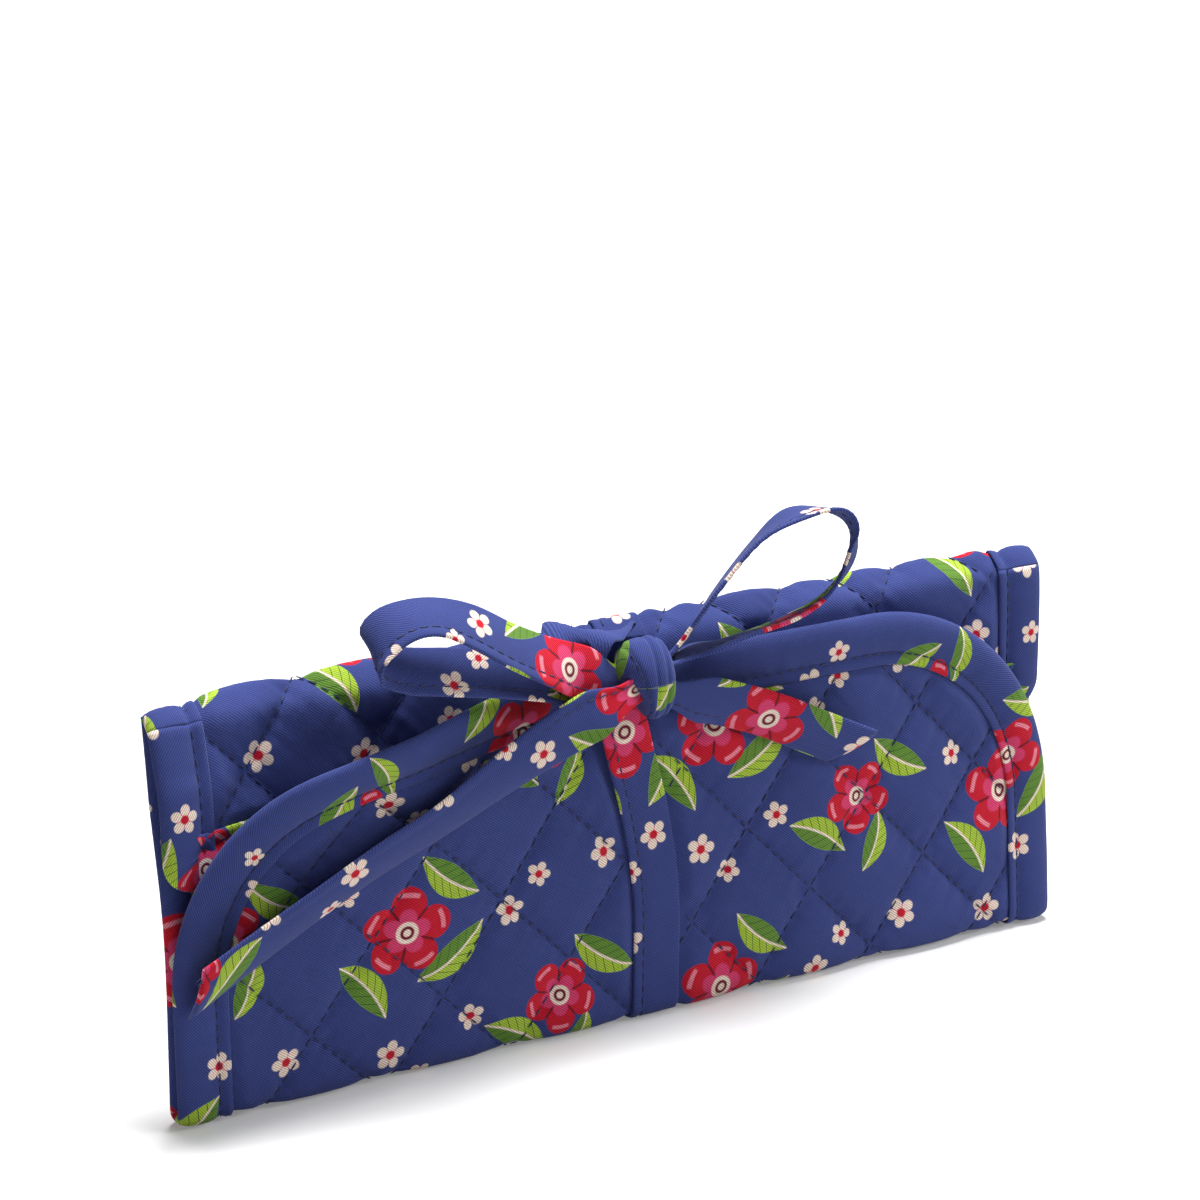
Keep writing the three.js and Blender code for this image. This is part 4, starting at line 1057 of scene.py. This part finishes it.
def tie_run(name, s, lift, offset):
    """A run of the tie flat on the panel, and its row of stitches."""
    middle = tie_middle(s)
    slope = np.gradient(middle, s)[:, None]
    across = TIE_SECTION[None, :, 0] * TIE_WIDTH / 2
    x = middle[:, None] + across / np.hypot(1, slope)
    along = s[:, None] - across * slope / np.hypot(1, slope)
    rings = panel_spot(x, along, lift[:, None] + TIE_SECTION[None, :, 1] * TIE_THICK)[0]
    marks = np.arange(s.min() + SEWN_FROM, s.max() - RUN_SEWN_TO, STITCH + STITCH_GAP)
    row = np.interp(marks, s, middle) + TIE_STITCH_AT
    spots, out = panel_spot(row, marks, np.interp(marks, s, lift) + TIE_THICK / 2)
    thread = stitch_row(name + "_stitches", spots, row_ways(spots), out)
    return swept(name, rings, tie_flat(s + offset, TIE_WIDTH / 2, TIE_PRINT_AT), print_cotton), thread


for stretch, name, low_s, high_s, nodes in (
    ("flap", "tie_down_the_front", 5, BASE_MIDDLE, ("tie_front", "tie_under")),
    ("back", "tie_up_the_back", BASE_MIDDLE, TOP_FOLD, ("tie_back",)),
    ("top", "tie_over_the_top", TOP_FOLD, LEAF_FOLD, ("tie_top",)),
):
    s = np.linspace(low_s, high_s, max(TIE_ROWS, int((high_s - low_s) / TIE_STEP)))
    run, thread = tie_run(name, s, TIE_LIFT + TIE_RISE * ease((RISE_FROM - s) / RISE_OVER), low_s)
    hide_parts(*nodes)
    for thing in (run, thread):
        bend(thing, stretch)

# The bow: the tie's two ends, knotted once and drawn through as two loops. Each end is one strip, cut on a
# slant: the left loop goes on as the right tail, and the right loop as the left tail. A point of a strip is
# its place from the knot's middle, and the way across the strip there.
KNOT_AT = np.array([-1, -7.71, 87.275])
LEAN = np.array([[1, 0, 0], [0, 0.99863, 0.05234], [0, -0.05234, 0.99863]])
BOW_STEP, CUT_SLANT, CUT_REACH = 1.3, 4.0, 8
SQUEEZE, SQUEEZED_TO, SQUEEZE_OVER = 0.5, 18, 11
LOOP_CURL, LOOP_LEVEL, TAIL_CURL, TAIL_LEVEL, TAIL_CHANGE = 0.35, 0.4, -1.1, 0.7, 20
LEFT_LOOP = [
    (-2, 0.3, 0.4, 0, 0.1, 1), (-10, -0.4, 1.5, 0.1, 0.15, 1), (-17, -0.4, 4.2, 0.2, 0.15, 0.97),
    (-26, -2.5, 8.7, 0.25, 0.55, 0.8), (-36, -3.5, 14.2, 0.3, 0.65, 0.7), (-46, -3.9, 20.6, 0.35, 0.7, 0.6),
    (-54, -3.5, 24.2, 0.3, 0.8, 0.45), (-61, -3.1, 25, 0.15, 0.85, 0.45), (-67, -2.6, 23.3, 0, 0.82, 0.55),
    (-70, -1.8, 19.6, 0, 0.78, 0.62), (-68.5, -0.6, 15.4, 0.2, 0.75, 0.6), (-62, -0.1, 12.3, 0.35, 0.7, 0.6),
    (-50, 0.3, 9.8, 0.4, 0.65, 0.65), (-37, 0.9, 7.1, 0.4, 0.6, 0.7), (-22, 1.9, 3.4, 0.3, 0.45, 0.8),
    (-9, 2.3, 1.1, 0, 0, 1),
]
RIGHT_TAIL = [
    (7.8, 2.2, -5.9, 0.2, -0.05, 1), (21, 2.2, -10.3, 0.3, -0.35, 0.9), (34, 2.4, -15.6, 0.35, -0.4, 0.88),
    (46, 2.5, -21.8, 0.4, -0.4, 0.88), (58, 2.5, -28, 0.45, -0.4, 0.88),
]
RIGHT_LOOP = [
    (2, 0.2, 4, 0.1, 0.9, -0.2), (8.4, 0.2, 5.8, 0.35, 0.8, -0.45), (19.5, -0.3, 18.2, 0.3, 0.85, -0.4),
    (30, -0.8, 28, 0.25, 0.88, -0.33), (41, -1.1, 33, 0, 1, -0.1), (50.5, -1, 32.4, 0.1, 0.95, -0.2),
    (56.2, -0.7, 27, 0.5, 0.8, -0.1), (55.5, -0.3, 19, 0.68, 0.68, -0.07), (49, 0, 12, 0.5, 0.8, -0.2),
    (38, 0.2, 7.6, 0.1, 0.9, -0.27), (23, 0.3, 5.3, 0.09, 0.9, -0.27), (9.5, 0.4, 3.4, 0, 1, -0.1),
]
LEFT_TAIL = [
    (-8, -3.7, -2.2, 0.4, -0.15, -1), (-23, -3.8, -7.2, 0.4, 0, -1), (-39, -3.2, -14.6, 0.3, 0.3, -0.95),
    (-55, -2.4, -23, 0.15, 0.5, -0.87), (-71, -1.6, -29.8, 0.1, 0.55, -0.84),
    (-87, -1.1, -37.5, 0.1, 0.55, -0.84), (-103, -0.6, -45.5, 0.1, 0.5, -0.87),
    (-116, -0.3, -52.3, 0.1, 0.45, -0.9),
]


def through(points, step):
    """A smooth line through points, with their width ways carried along."""
    points = np.array(points, float)
    padded = np.r_[[2 * points[0] - points[1]], points, [2 * points[-1] - points[-2]]]
    line = []
    for k in range(1, len(padded) - 2):
        before, here, after, beyond = padded[k - 1 : k + 3]
        count = max(2, int(np.linalg.norm((after - here)[:3]) / step))
        t = np.linspace(0, 1, count, endpoint=False)[:, None]
        square = 2 * before - 5 * here + 4 * after - beyond
        cube = 3 * here - before - 3 * after + beyond
        line.append(0.5 * (2 * here + (after - before) * t + square * t**2 + cube * t**3))
    return np.concatenate(line + [points[-1:]])


def tie_frame(line):
    """A line in the knot's own frame as places on the roll, with the ways along and across it."""
    middle = line[:, :3] @ LEAN.T + KNOT_AT
    way = row_ways(middle)
    wide = line[:, 3:] @ LEAN.T
    return middle, way, unit(wide - (wide * way).sum(1, keepdims=True) * way)


def tie_rings(middle, wide, up, spread, hollow):
    across, thick = TIE_SECTION.T[:, None, :, None]
    return (
        middle[:, None]
        + wide[:, None] * across * spread * TIE_WIDTH / 2
        + up[:, None] * (thick * TIE_THICK + hollow)
    )


def strip(name, points, offset, tail_length):
    """A free strip of the tie along points in the knot's own frame, with its two rows of stitches."""
    line = through(points, BOW_STEP)
    middle, way, wide = tie_frame(line)
    up = np.cross(way, wide)
    far = travelled(middle)
    across = TIE_SECTION[None, :, :1]
    drawn = 1 - SQUEEZE * ease((SQUEEZED_TO - np.abs(line[:, 0])) / SQUEEZE_OVER)
    tail = ease((far - far[-1] + tail_length) / TAIL_CHANGE)[:, None, None]
    level = LOOP_LEVEL + (TAIL_LEVEL - LOOP_LEVEL) * tail
    curl = (LOOP_CURL + (TAIL_CURL - LOOP_CURL) * tail) * (across**2 - level)
    cut = np.clip((far - far[-1] + CUT_REACH) / CUT_REACH, 0, 1)[:, None, None] * across * CUT_SLANT
    rings = tie_rings(middle, wide, up, drawn[:, None, None], curl) + way[:, None] * cut
    marks = np.arange(SEWN_FROM, far[-1] - STRIP_SEWN_TO, STITCH + STITCH_GAP)
    spot, side, top, along = (
        np.stack([np.interp(marks, far, values[:, k]) for k in range(3)], 1)
        for values in (middle, wide, up, way)
    )
    row = spot + side * TIE_STITCH_AT * np.interp(marks, far, drawn)[:, None]
    spots = np.concatenate([row + face * STRIP_SUNK * TIE_THICK * top for face in (1, -1)])
    thread = stitch_row(name + "_stitches", spots, unit(np.r_[along, along]), unit(np.r_[top, -top]))
    band = swept(name, rings, tie_flat(far + offset, TIE_WIDTH / 2, TIE_PRINT_AT), print_cotton)
    for thing in (band, thread):
        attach(thing, "flap")
    return band


left_strip = strip("bow_left_loop_right_tail", LEFT_LOOP + RIGHT_TAIL, offset=0, tail_length=52)
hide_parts("bow_loop_left", "bow_tail_right")
right_strip = strip("bow_right_loop_left_tail", RIGHT_LOOP + LEFT_TAIL, offset=47, tail_length=112)
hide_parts("bow_loop_right", "bow_tail_left")

# The knot: the tie wrapped once round the crossing and drawn tight. The wrap is wide where it comes over
# the top and gathers towards the bottom, with a stitched edge at its left and a few slanting creases.
KNOT_HALF, KNOT_DEEP, KNOT_HIGH, KNOT_CROWN = 7.0, 6.6, 9.9, 3.6
KNOT_MEAN, KNOT_GATHER, KNOT_SWAY, KNOT_TILT = 0.82, 0.22, 1.8, 0.6
KNOT_STITCHED, KNOT_SEWN, KNOT_SEWN_LIFT, KNOT_OUT = -0.62, (-1.35, 1.2, 0.33), 0.25, (0, 1, 0.45)
KNOT_COLUMNS, KNOT_TURNS, KNOT_WRAP, KNOT_PRINT_AT = 49, 96, 9, (38, 60)
KNOT_CREASES = [(KNOT_STITCHED, 0.0, 0.07, 0.05), (-0.15, 0.3, 0.07, 0.05), (0.35, 0.2, 0.09, 0.06)]


def knot():
    """The wrap, and the row of stitches on the part of its left edge that shows."""
    columns = np.linspace(-1, 1, KNOT_COLUMNS)
    across, turn = rings_by_turns(columns, KNOT_TURNS)
    creased = sum(
        depth * np.exp(-(((across - at - lean * np.sin(turn)) / wide) ** 2))
        for at, lean, wide, depth in KNOT_CREASES
    )
    reach = (1 - np.abs(across) ** KNOT_CROWN) ** 0.5 * (1 - creased)
    gathered = KNOT_MEAN + KNOT_GATHER * np.sin(turn)
    local = np.stack(
        [
            across * KNOT_HALF * gathered - KNOT_SWAY * np.sin(turn),
            -KNOT_DEEP * reach * np.cos(turn),
            KNOT_HIGH * reach * np.sin(turn) + KNOT_TILT * across,
        ],
        -1,
    )
    flat = np.stack([turn * KNOT_WRAP, across * KNOT_HALF], -1) + KNOT_PRINT_AT
    marks = np.arange(*KNOT_SEWN) % (2 * math.pi)
    row = np.argmin(np.abs(columns - KNOT_STITCHED))
    rim = np.stack([np.interp(marks, turn[row], local[row, :, k]) for k in range(3)], 1)
    out = unit(rim * KNOT_OUT) @ LEAN.T
    spots = rim @ LEAN.T + KNOT_AT + out * KNOT_SEWN_LIFT
    thread = stitch_row("bow_knot_stitches", spots, row_ways(spots), out)
    return swept("bow_knot_wrap", local @ LEAN.T + KNOT_AT, flat, print_cotton), thread


wrap, wrap_thread = knot()
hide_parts("bow_knot")
for thing in (wrap, wrap_thread):
    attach(thing, "flap")

# The fold into the knot: the tie's last stretch, from the top fold over the flap's edge into the knot from
# behind. It is the same folded strip, spread and a little crumpled, and the knot holds its end.
FOLD_IN = [
    (0.5, 13.2, 5.9, 1, 0, 0), (-2.5, 12, 7.6, 1, 0, -0.1), (-9, 8.6, 10, 1, 0.1, -0.2),
    (-15, 5.2, 11.4, 1, 0.25, -0.1), (-17.5, 3, 10, 1, 0.3, 0.05), (-17, 1.9, 6.5, 1, 0.3, 0.15),
    (-14.5, 1.3, 3, 1, 0.1, 0.3),
]
FOLD_IN_STEP, FOLD_IN_PRINT = 0.8, (43, 5, 30)
SPREAD_FROM, SPREAD_MORE, SPREAD_OVER, HOLLOW, HOLLOW_LEVEL = 0.9, 0.4, 14, 2.4, 0.9
CRUMPLE, CRUMPLES_ACROSS, CRUMPLE_RUN = 0.4, 5.5, 10
middle, way, wide = tie_frame(through(FOLD_IN, FOLD_IN_STEP))
far = travelled(middle)
across = TIE_SECTION[None, :, :1]
opened = ease(far / SPREAD_OVER)[:, None, None]
crumple = CRUMPLE * np.sin(across * CRUMPLES_ACROSS + far[:, None, None] / CRUMPLE_RUN)
hollow = crumple + (HOLLOW * across**2 - HOLLOW_LEVEL) * opened
rings = tie_rings(middle, wide, np.cross(wide, way), SPREAD_FROM + SPREAD_MORE * opened, hollow)
print_along, *print_across = FOLD_IN_PRINT
over = swept("tie_to_the_knot", rings, tie_flat(far + print_along, *print_across), print_cotton)
stands_for(over, "tie_cotton", "tie_over_flap")
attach(over, "flap")
